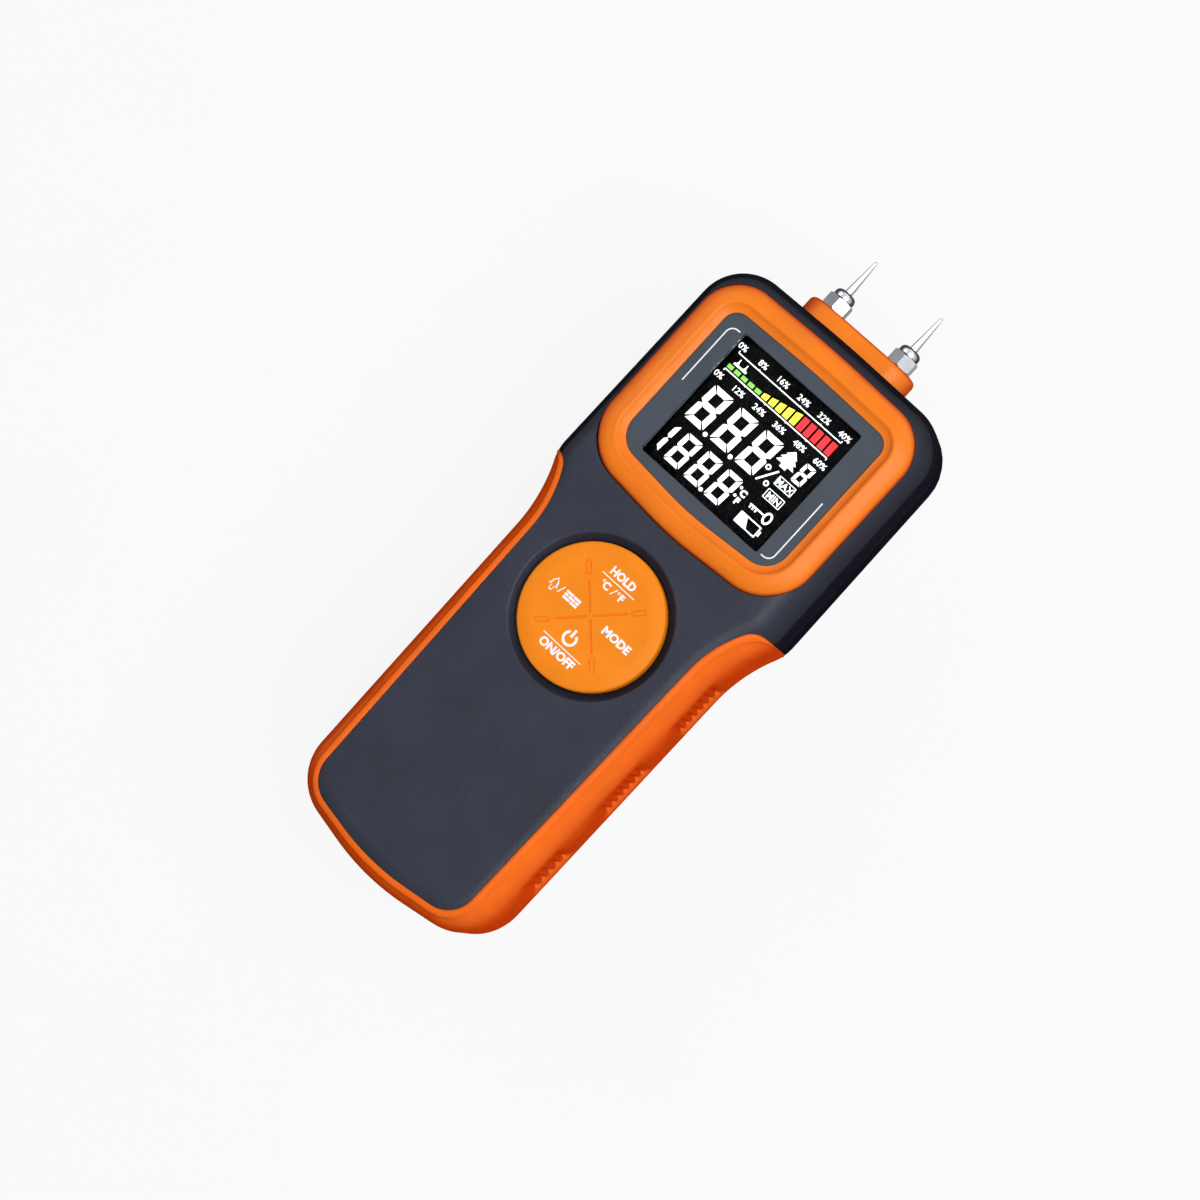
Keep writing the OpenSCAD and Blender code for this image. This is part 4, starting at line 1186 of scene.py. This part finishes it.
class Print:
    """Flat marks gathered into one thin mesh: figures, lines, icons and type."""

    def __init__(self, origin: Flat, z: float, thick: float = 0.04) -> None:
        """Starts an empty print.

        Args:
            origin: Place that all marks are measured from.
            z: Height of the printed face.
            thick: Thickness of the ink.
        """
        self.origin, self.z, self.thick = origin, z, thick
        self.shapes: list[list[Flat]] = []
        self.holed: list[list[list[Flat]]] = []
        self.types: list[tuple[Flat, ...]] = []

    def moved(self, ring: Sequence[Flat]) -> list[Flat]:
        """Moves an outline from the sheet's origin to its place on the case."""
        return [(x + self.origin[0], y + self.origin[1]) for x, y in ring]

    def area(self, ring: Sequence[Flat]) -> None:
        """Adds a filled outline."""
        self.shapes.append(self.moved(ring))

    def ring(self, *rings: Sequence[Flat]) -> None:
        """Adds a filled outline with the holes that follow it."""
        self.holed.append([self.moved(ring) for ring in rings])

    def hoop(self, x: float, y: float, outer: float, inner: float, count: int) -> None:
        """Adds a round ring."""
        self.ring(circle((x, y), outer, count), circle((x, y), inner, count)[::-1])

    def box(self, place: Flat, width: float, height: float, line: float, radius: float) -> None:
        """Adds a box drawn with a line."""
        self.ring(rounded_box(place, width, height, radius),
                  rounded_box(place, width - 2 * line, height - 2 * line, 0.1))

    def bar(self, x0: float, y0: float, x1: float, y1: float, width: float) -> None:
        """Adds a straight line of a width from one point to another."""
        length = math.hypot(x1 - x0, y1 - y0)
        u, v = -(y1 - y0) / length * width / 2, (x1 - x0) / length * width / 2
        self.area([(x0 - u, y0 - v), (x1 - u, y1 - v), (x1 + u, y1 + v), (x0 + u, y0 + v)])

    def type(self, text: str, x: float, y: float, height: float, bold: float = 0.0,
             squeeze: float = 1.0) -> None:
        """Adds a line of plain type round a middle."""
        self.types += lettering(text, self.moved([(x, y)])[0], height, bold, squeeze)

    def figure(self, left: float, low: float, width: float, height: float, stroke: float,
               lit: Iterable[Segment] = tuple(Segment), lean: float = 0.085, gap: float = 0.07) -> None:
        """Adds a leaning seven-bar figure.

        Args:
            left: Left end of its foot.
            low: Height of its foot.
            width: Width without the lean.
            height: Its height.
            stroke: Width of a bar.
            lit: The bars that show.
            lean: Sideways shift for each millimetre of height.
            gap: Half of the gap between two bars.
        """
        w, h, s, mid = width, height, stroke, height / 2
        c = s * 0.22
        bars = {
            Segment.TOP: [(c, h), (w - c, h), (w - s, h - s), (s, h - s)],
            Segment.LOW: [(s, s), (w - s, s), (w - c, 0), (c, 0)],
            Segment.TOP_LEFT: [(0, h - c), (s, h - s), (s, mid + s / 2), (s / 2, mid), (0, mid + s * 0.3)],
            Segment.LOW_LEFT: [(0, c), (s, s), (s, mid - s / 2), (s / 2, mid), (0, mid - s * 0.3)],
            Segment.TOP_RIGHT: [(w, h - c), (w - s, h - s), (w - s, mid + s / 2), (w - s / 2, mid),
                                (w, mid + s * 0.3)],
            Segment.LOW_RIGHT: [(w, c), (w - s, s), (w - s, mid - s / 2), (w - s / 2, mid),
                                (w, mid - s * 0.3)],
            Segment.MIDDLE: [(s, mid + s / 2), (w - s, mid + s / 2), (w - s / 2, mid), (w - s, mid - s / 2),
                             (s, mid - s / 2), (s / 2, mid)],
        }
        for name in lit:
            ring = bars[name]
            cx, cy = sum(p[0] for p in ring) / len(ring), sum(p[1] for p in ring) / len(ring)
            shrunk = [(x + gap * (1 if x < cx else -1), y + gap * (1 if y < cy else -1)) for x, y in ring]
            self.area([(left + x + y * lean, low + y) for x, y in shrunk])

    def done(self, name: str, finish: Finish) -> bpy.types.Object:
        """Turns the print into a piece.

        Args:
            name: Name of the piece.
            finish: The ink.

        Returns:
            The new object.
        """
        draft = Draft()
        foot = self.z - self.thick
        for ring in self.shapes:
            draft.prism(ring, foot, self.z)
        for rings in self.holed:
            draft.slab(rings, foot, self.z)
        self.thicken(draft)
        return draft.done(name, finish, 30)

    def thicken(self, draft: Draft) -> None:
        """Adds the type to the mesh, with a face, a foot and the sides between them."""
        known: dict[Flat, list] = {}
        edges: dict[tuple[Flat, Flat], int] = {}
        for triangle in self.types:
            keys = [(round(p[0], 5), round(p[1], 5)) for p in triangle]
            if len(set(keys)) < 3:
                continue
            for key in keys:
                if key not in known:
                    known[key] = draft.loop([(*key, self.z), (*key, self.z - self.thick)])
            for level in (0, 1):
                corners = [known[k][level] for k in keys]
                if draft.bm.faces.get(corners) is None:
                    draft.bm.faces.new(corners)
            for a, b in zip(keys, [*keys[1:], keys[0]]):
                pair = (a, b) if a < b else (b, a)
                edges[pair] = edges.get(pair, 0) + 1
        for (a, b), count in edges.items():
            if count == 1:
                draft.bm.faces.new([known[a][0], known[b][0], known[b][1], known[a][1]])


@dataclass
class Screen:
    """The lit marks of the display, laid on its black glass."""

    middle: float
    glass_z: float
    shift: float = -1.05
    left: float = -15.75
    right: float = 15.45
    bars: int = 15
    bar_w: float = 1.55
    foot: float = 9.25

    def sheet(self) -> Print:
        """Starts a print on the glass."""
        return Print((self.shift, self.middle), self.glass_z + 0.05)

    def scales(self, white: Print) -> None:
        """Draws the two percent scales with their lines."""
        step = (self.right - self.left) / 5
        for y, line, tick, size in ((15.05, 13.35, 0.55, 8), (6.85, 8.75, -0.5, 12)):
            white.bar(self.left, line, self.right, line, 0.26)
            for k in range(6):
                x = self.left + step * k
                white.type(f"{size * k}%", self.left - 0.1 + 6.2 * k, y, 1.5, 0.008)
                length = tick * (1.0 if k in (0, 5) else 0.6)
                white.bar(x, line, x, line + length, 0.22)

    def probe_sign(self, white: Print) -> None:
        """Draws the sign for a pair of needles."""
        white.bar(-15.0, 10.95, -11.3, 10.95, 0.5)
        for x in (-14.2, -12.1):
            white.area([(x - 0.42, 11.2), (x + 0.42, 11.2), (x + 0.16, 11.75), (x + 0.1, 12.55),
                        (x - 0.1, 12.55), (x - 0.16, 11.75)])

    def bar_graph(self, sheets: Sequence[Print]) -> None:
        """Draws the bars, five of each colour, the middle ones rising."""
        pitch = (self.right - self.left - self.bar_w) / (self.bars - 1)
        for k in range(self.bars):
            x = self.left + pitch * k
            group = k // 5
            near, far = ((1.0, 1.0), (1.15 + 0.42 * (k - 5), 1.15 + 0.42 * (k - 4)), (3.25, 3.25))[group]
            sheets[group].area([(x, self.foot), (x + self.bar_w, self.foot),
                                (x + self.bar_w, self.foot + far), (x, self.foot + near)])

    def figures(self, white: Print) -> None:
        """Draws the large reading, the small reading and the small figure."""
        for left in (-15.6, -7.8, -0.1):
            white.figure(left, -5.4, 5.7, 10.2, 1.62)
        for x in (-8.85, -1.1):
            white.area(circle((x, -5.3), 0.55, 16))
        white.figure(-19.3, -15.5, 4.85, 8.2, 1.28, (Segment.TOP_RIGHT, Segment.LOW_RIGHT))
        for left in (-12.6, -6.4, -0.2):
            white.figure(left, -15.5, 4.6, 8.2, 1.25)
        white.area(circle((-1.1, -15.1), 0.5, 16))
        white.figure(12.4, -0.2, 2.95, 5.4, 0.9)

    def icons(self, white: Print) -> None:
        """Draws the wood, lock, battery and unit signs."""
        tree = mirrored([(0.85, 0.5), (0.85, 1.35), (2.55, 1.35), (1.45, 2.55), (2.2, 2.55), (1.0, 3.75),
                         (1.55, 3.75), (0, 5.3)])
        white.area([(9.4 + x, y) for x, y in tree])
        for x, y in ((6.95, -1.3), (9.05, -4.35)):
            white.hoop(x, y, 0.68, 0.34, 20)
        white.bar(9.45, -0.5, 6.55, -5.15, 0.42)
        for word, y, height in (("MAX", -2.1, 2.4), ("MIN", -5.85, 2.5)):
            white.box((12.75, y), 4.9, height, 0.175, 0.15)
            white.type(word, 12.75, y, 1.65, 0.012, 0.95)
        for y, unit in ((-9.4, "C"), (-11.6, "F")):
            white.hoop(5.6, y + 0.65, 0.36, 0.16, 14)
            white.type(unit, 6.85, y, 1.6, 0.05)
        white.ring(*[[(14.7 + across * math.cos(a), -10.1 + up * math.sin(a)) for a in sweep(28)]
                     for across, up in ((1.1, 1.55), (0.62, 1.05))])
        white.bar(9.5, -10.0, 13.65, -10.0, 0.36)
        for x in (9.9, 10.7, 11.5):
            white.bar(x, -10.1, x, -10.85, 0.4)
        white.box((12.2, -13.85), 6.1, 2.9, 0.3, 0.1)
        white.area([(9.4, -15.05), (12.6, -15.05), (11.2, -12.65), (9.4, -12.65)])
        white.bar(15.45, -13.85, 15.85, -13.85, 1.3)

    def dress(self) -> None:
        """Builds the lit marks and sets them on the case."""
        white, green, yellow, red = (self.sheet() for _ in range(4))
        self.scales(white)
        self.probe_sign(white)
        self.bar_graph((green, yellow, red))
        self.figures(white)
        self.icons(white)
        for sheet, name, finish in ((white, "White_Marks", CELL_WHITE), (green, "Green_Bars", CELL_GREEN),
                                    (yellow, "Yellow_Bars", CELL_YELLOW), (red, "Red_Bars", CELL_RED)):
            settle(sheet.done(name, finish), Body.CASE, "display_glass")
        dress(DISPLAY_GLASS, "lcd_panel")
        dress(HOLDER_WHITE, "lcd_holder", "backlight")
        dress(ZEBRA, "lcd_connectors")


# ---------- Key pad ----------


@dataclass
class KeyPad:
    """The round orange key that rocks four ways, with its engraved cross, its bars and its legends."""

    centre_y: float = 77.8
    radius: float = 17.0
    top: float = 32.3
    skirt_z: float = 28.2
    web_z: float = 29.9
    skirt_t: float = 1.4
    cross: Flat = (0.75, 8.3)
    cross_w: float = 0.5
    cross_depth: float = 0.4
    bar_at: float = 11.0
    bar: Flat = (3.5, 1.35)
    rim_r: float = 13.9
    ink: float = 0.05

    def cap(self) -> bpy.types.Object:
        """Turns the cap and engraves it."""
        r, top = self.radius, self.top
        inner = r - self.skirt_t
        profile = [(0.0, self.web_z), (inner, self.web_z), (inner, self.skirt_z), (r - 0.15, self.skirt_z),
                   (r, self.skirt_z + 0.15)]
        profile += bent([(r, top - 1.25), (r - 0.06, top - 0.9), (r - 0.35, top - 0.58), (r - 0.9, top - 0.4),
                         (r - 2.0, top - 0.18), (self.rim_r + 0.25, top - 0.04), (self.rim_r - 0.4, top)], 4)
        profile.append((0.0, top))
        draft = Draft()
        draft.turned(profile, (0, self.centre_y, 0), Axis.UP, 144)
        cap = draft.done("Key_Pad", KEY_ORANGE, 40)
        carve(cap, self.grooves())
        shade(cap, 30)
        for face in cap.data.polygons:
            face.use_smooth = face.normal.z < 0.9999
        return cap

    def spoke(self, angle: float, length: float, width: float, at: float) -> list[Flat]:
        """Gives a bar with round ends that points away from the middle of the pad."""
        c, s = math.cos(angle), math.sin(angle)
        bar = rounded_box((at, 0), length, width, width / 2, 10)
        return [(x * c - y * s, x * s + y * c + self.centre_y) for x, y in bar]

    def grooves(self) -> bpy.types.Object:
        """Makes the cutter for the cross and for the channels round the four bars."""
        draft = Draft()
        low, high = self.top - self.cross_depth, self.top + 0.5
        near, far = self.cross
        for k in range(4):
            angle = math.pi / 4 + k * math.pi / 2
            draft.prism(self.spoke(angle, far - near, self.cross_w, (far + near) / 2), low, high)
            outer = self.spoke(angle, *self.bar, self.bar_at)
            island = self.spoke(angle, self.bar[0] - 0.62, self.bar[1] - 0.62, self.bar_at)
            draft.slab((outer, island), low + 0.12, high)
        return draft.done("Key_Cutter", KEY_ORANGE)

    def legends(self) -> bpy.types.Object:
        """Prints the four legends."""
        sheet = Print((0, self.centre_y), self.top + self.ink, 2 * self.ink)
        bold = 0.04
        sheet.type("HOLD", 0, 11.1, 1.95, bold, 0.94)
        sheet.bar(-4.75, 9.2, 4.9, 9.2, 0.22)
        sheet.type("C", -1.85, 7.5, 1.8, bold)
        sheet.type("F", 2.65, 7.5, 1.8, bold)
        for x in (-3.05, 1.45):
            sheet.hoop(x, 8.0, 0.34, 0.17, 16)
        sheet.bar(-0.15, 6.5, 0.75, 8.4, 0.24)
        sheet.type("MODE", 8.2, 0.0, 1.95, bold, 1.04)
        self.wood_sign(sheet, (-11.1, -0.05))
        sheet.bar(-9.35, -1.0, -8.6, 1.0, 0.24)
        self.brick_sign(sheet, (-5.7, -0.05))
        self.power_sign(sheet, (0, -6.75))
        sheet.bar(-5.65, -9.4, 5.75, -9.4, 0.22)
        sheet.type("ON/OFF", 0, -11.0, 2.0, bold)
        return sheet.done("Key_Legends", GLOWING_WHITE_PRINT)

    def wood_sign(self, sheet: Print, place: Flat) -> None:
        """Draws the outline of a small tree."""
        outer = mirrored([(0.42, -1.7), (0.42, -0.55), (1.2, -0.55), (0.6, 0.35), (0.98, 0.35), (0.0, 1.7)])
        inner = [(x * 0.66, (y - 0.02) * 0.84) for x, y in outer]
        sheet.ring(*[[(x * 1.05 + place[0], y + place[1]) for x, y in ring] for ring in (outer, inner)])

    def brick_sign(self, sheet: Print, place: Flat) -> None:
        """Draws a small wall of bricks."""
        rows, width, height, joint = 3, 4.2, 2.1, 0.22
        row_h = (height - joint * (rows - 1)) / rows
        for row in range(rows):
            low = place[1] - height / 2 + row * (row_h + joint)
            cuts = (0.0, 0.5, 1.0) if row % 2 == 0 else (0.0, 0.25, 0.75, 1.0)
            for a, b in zip(cuts, cuts[1:]):
                x0 = place[0] - width / 2 + width * a + (joint / 2 if a else 0)
                x1 = place[0] - width / 2 + width * b - (joint / 2 if b < 1 else 0)
                sheet.area([(x0, low), (x1, low), (x1, low + row_h), (x0, low + row_h)])

    def power_sign(self, sheet: Print, place: Flat) -> None:
        """Draws the power sign: an open ring with a bar in its gap."""
        gap, steps, outer, inner = 0.62, 36, 1.85, 1.25
        angles = [math.pi / 2 + gap + (TAU - 2 * gap) * i / steps for i in range(steps + 1)]
        sheet.area([(place[0] + r * math.cos(a), place[1] + r * math.sin(a))
                    for r, turn in ((outer, angles), (inner, angles[::-1])) for a in turn])
        sheet.bar(place[0], place[1] + 0.35, place[0], place[1] + 2.35, 0.6)

    def dress(self) -> None:
        """Builds the key pad and sets it on its body."""
        settle(self.cap(), Body.KEY_PAD, "orange_plastic", "pad_cap")
        settle(self.legends(), Body.KEY_PAD, "orange_plastic")
        dress(STEEL, "pad_gimbal")


# ---------- Electrodes ----------


@dataclass
class Electrodes:
    """The orange boss with its two sockets, the clamp nuts and the needles."""

    foot_y: float = 155.4
    flange_l: float = 2.5
    flange: Flat = (35.0, 16.0)
    boss: Flat = (31.4, 13.0)
    top_y: float = 165.5
    edge: float = 1.35
    axis_z: float = 15.5
    pitch: float = 20.0
    socket_r: float = 2.75
    nut_af: float = 6.0
    chamfer_r: float = 2.93
    lean: float = 0.6
    hex_l: float = 3.4
    nut_top: float = 171.0
    dome_r: float = 2.72
    tip_y: float = 180.55
    needle_r: float = 0.97
    tip_r: float = 0.4
    collar_y: float = 168.05

    def upright(self, ring: Sequence[Flat], y: float) -> list[Solid]:
        """Stands an outline up, so that it faces along the case."""
        return [(x, y, self.axis_z + z) for x, z in ring]

    def head(self) -> bpy.types.Object:
        """Makes the boss with its flange, its rounded edge and its two holes."""
        draft = Draft()
        steps = 8
        ring = rounded_box((0, 0), *self.boss, self.boss[1] / 2 - 0.01, 18)
        flange = rounded_box((0, 0), *self.flange, 0.3, 18)
        bevel = [(self.edge * (1 - math.cos(math.pi / 2 * i / steps)),
                  self.top_y - self.edge + self.edge * math.sin(math.pi / 2 * i / steps))
                 for i in range(steps + 1)]
        levels = [(flange, self.foot_y), (flange, self.foot_y + self.flange_l),
                  (ring, self.foot_y + self.flange_l)]
        levels += [(inset(ring, depth), y) for depth, y in bevel]
        rows = draft.skin(self.upright(r, y) for r, y in levels)
        holes = []
        for side in (-1, 1):
            spots = [(self.socket_r, self.foot_y), (self.socket_r, self.top_y - 0.2),
                     (self.socket_r + 0.2, self.top_y)]
            middle = (side * self.pitch / 2, 0)
            holes.append(draft.skin(self.upright(circle(middle, r, 48), y) for r, y in spots))
        draft.fill(rows[0], *[h[0] for h in holes])
        draft.fill(rows[-1], *[h[-1] for h in holes])
        return draft.done("Electrode_Boss", HARD_ORANGE, 35, True)

    def nut_ring(self, x: float, y: float, radius: float, lean: float, count: int = 96) -> list[Solid]:
        """Gives one ring of a nut.

        Args:
            x: Place of the nut across the case.
            y: Height of the ring.
            radius: Radius of a circle, or 0 for the hexagon.
            lean: How far the hexagon's corners lie off that height, for each millimetre outwards.
            count: Number of points.
        """
        points = []
        for angle in sweep(count):
            wide = radius or self.nut_af / 2 / math.cos(angle % (math.pi / 3) - math.pi / 6)
            points.append((x + wide * math.sin(angle), y + lean * (wide - self.chamfer_r),
                           self.axis_z - wide * math.cos(angle)))
        return points

    def nut(self, name: str, x: float) -> bpy.types.Object:
        """Makes a clamp nut: a chamfered hexagon with a domed collet on it."""
        draft = Draft()
        low, top, dome, bore = self.top_y + 0.05, self.nut_top, self.dome_r, self.needle_r
        high = low + self.hex_l
        levels = [(low, 1.9, 0.0), (low, self.chamfer_r, 0.0), (low, 0.0, self.lean), (high, 0.0, -self.lean),
                  (high, self.chamfer_r, 0.0), (high, dome + 0.1, 0.0), (high + 0.06, dome - 0.06, 0.0),
                  (high + 0.14, dome, 0.0), (top - 1.35, dome, 0.0)]
        levels += [(top - 1.35 + 1.3 * math.sin(a), dome - 1.3 * (1 - math.cos(a)), 0.0)
                   for a in (math.pi / 2 * i / 10 for i in range(1, 11))]
        levels += [(top - 0.02, bore + 0.22, 0.0), (top - 0.14, bore + 0.08, 0.0),
                   (self.collar_y + 1.0, bore + 0.06, 0.0), (self.collar_y + 0.8, 1.9, 0.0)]
        draft.skin((self.nut_ring(x, *level) for level in levels), closed=True)
        return draft.done(name, CHROME, 24)

    def needle(self, name: str, x: float) -> bpy.types.Object:
        """Turns a needle with its collar and its blunt point."""
        tip, r, neck, collar = self.tip_y, self.needle_r, self.nut_top + 0.5, self.collar_y
        profile = [(0.0, collar), (1.5, collar), (1.5, collar + 0.7), (r, collar + 0.7),
                   (r, self.nut_top + 0.2), (r - 0.015, neck)]
        profile += [(r + (self.tip_r - r) * k / 6, neck + (tip - self.tip_r - neck) * k / 6)
                    for k in range(1, 7)]
        profile += [(self.tip_r * math.cos(a), tip - self.tip_r + self.tip_r * math.sin(a))
                    for a in (math.pi / 2 * i / 6 for i in range(1, 6))]
        profile.append((0.0, tip))
        draft = Draft()
        draft.turned(profile, (x, 0, self.axis_z), Axis.TO_TIPS, 48)
        return draft.done(name, GROUND_STEEL, 35)

    def dress(self) -> None:
        """Builds the boss, the nuts and the needles and sets each on its body."""
        settle(self.head(), Body.CASE, "orange_plastic", "electrode_head")
        half = self.pitch / 2
        settle(self.nut("Left_Nut", -half), Body.LEFT_CLAMP, "chrome", "left_nut")
        settle(self.nut("Right_Nut", half), Body.RIGHT_CLAMP, "chrome", "right_nut")
        settle(self.needle("Left_Needle", -half), Body.LEFT_ELECTRODE, "chrome", "left_needle")
        settle(self.needle("Right_Needle", half), Body.RIGHT_ELECTRODE, "chrome", "right_needle")
        dress(BRASS, "electrode_sockets", "electrode_tabs")


# ---------- Back and battery ----------


@dataclass
class BackSide:
    """The back shell, the battery cover, the screws and the blank label."""

    form: CaseForm
    stations: list[Station]
    sharp: float = 28.0
    near: float = 0.15

    def copy(self, node: str, name: str, finish: Finish) -> bpy.types.Object:
        """Makes a smoothly shaded piece from a CAD node.

        Args:
            node: The CAD node.
            name: Name of the new piece.
            finish: Its finish.

        Returns:
            The new object.
        """
        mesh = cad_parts[node].data.copy()
        mesh.name = name
        bm = bmesh.new()
        bm.from_mesh(mesh)
        bmesh.ops.remove_doubles(bm, verts=bm.verts, dist=1e-6)
        bmesh.ops.recalc_face_normals(bm, faces=bm.faces)
        bm.to_mesh(mesh)
        bm.free()
        mesh.materials.clear()
        mesh.materials.append(finish.material())
        piece = linked(name, mesh)
        shade(piece, self.sharp)
        self.smooth_skin(piece)
        return piece

    def outward(self, place: Vector, tree: KDTree) -> Vector | None:
        """Gives the way out of the rounded skin.

        Args:
            place: A point of the mesh.
            tree: The stations, by their place.

        Returns:
            The direction, or None where the point is not on the skin.
        """
        x, y, z = place.x / MM, place.y / MM - FOOT_Y, place.z / MM
        station = self.stations[tree.find((x, y, 0.0))[1]]
        width, height = self.form.back_round
        depth = (x - station.x) * station.way[0] + (y - station.y) * station.way[1]
        if z > height:
            return Vector((-station.way[0], -station.way[1], 0.0)) if depth < self.near else None
        if abs(z - self.form.back_z(depth)) > self.near:
            return None
        share = min(1.0, max(0.0, 1 - depth / width))
        across, up = share / width, math.sqrt(1 - share * share) / height
        return Vector((-station.way[0] * across, -station.way[1] * across, -up)).normalized()

    def smooth_skin(self, piece: bpy.types.Object) -> None:
        """Gives the outer faces of the back the shading of one smooth round."""
        tree = KDTree(len(self.stations))
        for index, station in enumerate(self.stations):
            tree.insert((station.x, station.y, 0.0), index)
        tree.balance()
        mesh = piece.data
        ways = [self.outward(vertex.co, tree) for vertex in mesh.vertices]
        normals = [tuple(corner.vector) for corner in mesh.corner_normals]
        for face in mesh.polygons:
            for corner in face.loop_indices:
                way = ways[mesh.loops[corner].vertex_index]
                if way is not None and way.dot(face.normal) > 0.9:
                    normals[corner] = tuple(way)
        mesh.normals_split_custom_set(normals)

    def dress(self) -> None:
        """Dresses the back."""
        for node, name, body in (("back_shell", "Back_Half", Body.CASE),
                                 ("battery_door", "Battery_Door", Body.COVER)):
            settle(self.copy(node, name, SLATE_BACK), body, "slate_plastic", node)
        dress(STEEL, "case_screws")
        dress(LABEL, "blank_label")


class Inside:
    """The pieces that the case hides."""

    finishes = {
        BOARD: ("main_pcb",),
        BLACK_PLASTIC: ("pcb_components", "buzzer", "plunger_top", "plunger_right", "plunger_bottom",
                        "plunger_left"),
        STEEL: ("switch_bodies", "pcb_screws", "battery_springs", "battery_plates"),
        CELL_JACKET: ("battery_1", "battery_2", "battery_3"),
        RED_WIRE: ("battery_lead_red",),
        BLACK_WIRE: ("battery_lead_black",),
    }

    def dress(self) -> None:
        """Gives each hidden CAD node its finish."""
        for finish, nodes in self.finishes.items():
            dress(finish, *nodes)


# ---------- Studio ----------


CORNERS = ((-1, -1), (1, -1), (1, 1), (-1, 1))


@dataclass
class Studio:
    """The pale floor, the soft lights and the camera."""

    tilt: float = 13.0
    rise: float = 1.7
    roll: float = 42.36
    distance: float = 0.6983
    target: Solid = (-0.00458, -0.00885, 0.016)
    lens: float = 92.0
    floor_size: float = 4.0
    floor_z: float = -42.0

    def direction(self, tilt: float, rise: float) -> Vector:
        """Gives the way to a place above the display, tilted to the right and raised to the needles."""
        t, r = math.radians(tilt), math.radians(rise)
        return Vector((math.sin(t) * math.cos(r), math.sin(r), math.cos(t) * math.cos(r)))

    def camera(self) -> None:
        """Sets the camera."""
        data = bpy.data.cameras.new("Camera")
        data.lens, data.sensor_width = self.lens, 36.0
        data.clip_start, data.clip_end = 0.01, 20.0
        camera = linked("Camera", data)
        way = self.direction(self.tilt, self.rise)
        right = Vector((0, 1, 0)).cross(way).normalized()
        up = way.cross(right)
        roll = math.radians(self.roll)
        across = right * math.cos(roll) + up * math.sin(roll)
        upward = up * math.cos(roll) - right * math.sin(roll)
        spot = Vector(self.target) + way * self.distance
        rows = [(across[i], upward[i], way[i], spot[i]) for i in range(3)]
        camera.matrix_world = Matrix([*rows, (0, 0, 0, 1)])
        bpy.context.scene.camera = camera

    def floor(self) -> None:
        """Lays the white floor below the open battery cover, where it keeps a soft shadow of the meter."""
        draft = Draft()
        half = self.floor_size / MM / 2
        draft.bm.faces.new(draft.loop([(x * half, y * half, self.floor_z) for x, y in CORNERS]))
        draft.done("Floor", FloorFinish())

    def lamp(self, name: str, way: Vector, away: float, size: Flat, power: float) -> None:
        """Hangs a soft lamp that faces the meter.

        Args:
            name: Name of the lamp.
            way: Direction from the meter to it.
            away: Distance to it in metres.
            size: Its two sides in metres.
            power: Its power in watts.
        """
        data = bpy.data.lights.new(name, "AREA")
        data.shape, data.size, data.size_y, data.energy = "RECTANGLE", *size, power
        lamp = linked(name, data)
        lamp.location = way * away
        lamp.rotation_mode = "QUATERNION"
        lamp.rotation_quaternion = way.to_track_quat("Z", "Y")

    def lights(self) -> None:
        """Hangs the lamps and sets the light of the room."""
        for name, way, away, size, power in (("Key_Lamp", (0.5, 0.12, 1.0), 1.3, (0.9, 0.9), 13.5),
                                             ("Fill_Lamp", (-0.9, 0.3, 0.8), 1.4, (1.0, 0.8), 2.8),
                                             ("Rim_Lamp", (0.1, 1.0, 0.45), 1.3, (1.0, 0.35), 1.8)):
            self.lamp(name, Vector(way).normalized(), away, size, power)
        world = bpy.data.worlds.new("Studio")
        bpy.context.scene.world = world
        graph = Graph(world, "ShaderNodeOutputWorld")
        skies = []
        for colour, strength in (((0.9, 0.93, 1.0), 0.28), ((1.0, 1.0, 1.0), 1.0)):
            sky = graph.add("ShaderNodeBackground")
            sky.inputs["Color"].default_value = (*colour, 1.0)
            sky.inputs["Strength"].default_value = strength
            skies.append(sky.outputs["Background"])
        graph.finish(graph.mixed(graph.seen(), *skies))

    def set_up(self) -> None:
        """Sets up the floor, the lights, the camera and the plain view of colours."""
        self.floor()
        self.lights()
        self.camera()
        bpy.context.scene.view_settings.view_transform = "Standard"


def main() -> None:
    """Builds the sub-assemblies in order."""
    form = CaseForm()
    stations = form.stations()
    display = DisplayFrame(form)
    glass_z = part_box("lcd_panel")[1].z / MM
    for part in (FrontShell(form, stations), GripSleeve(form, stations), display,
                 Screen(display.middle, glass_z), KeyPad(), Electrodes(), BackSide(form, stations), Inside()):
        log.info("building %s", type(part).__name__)
        part.dress()
    Studio().set_up()


if __name__ == "__main__":
    main()
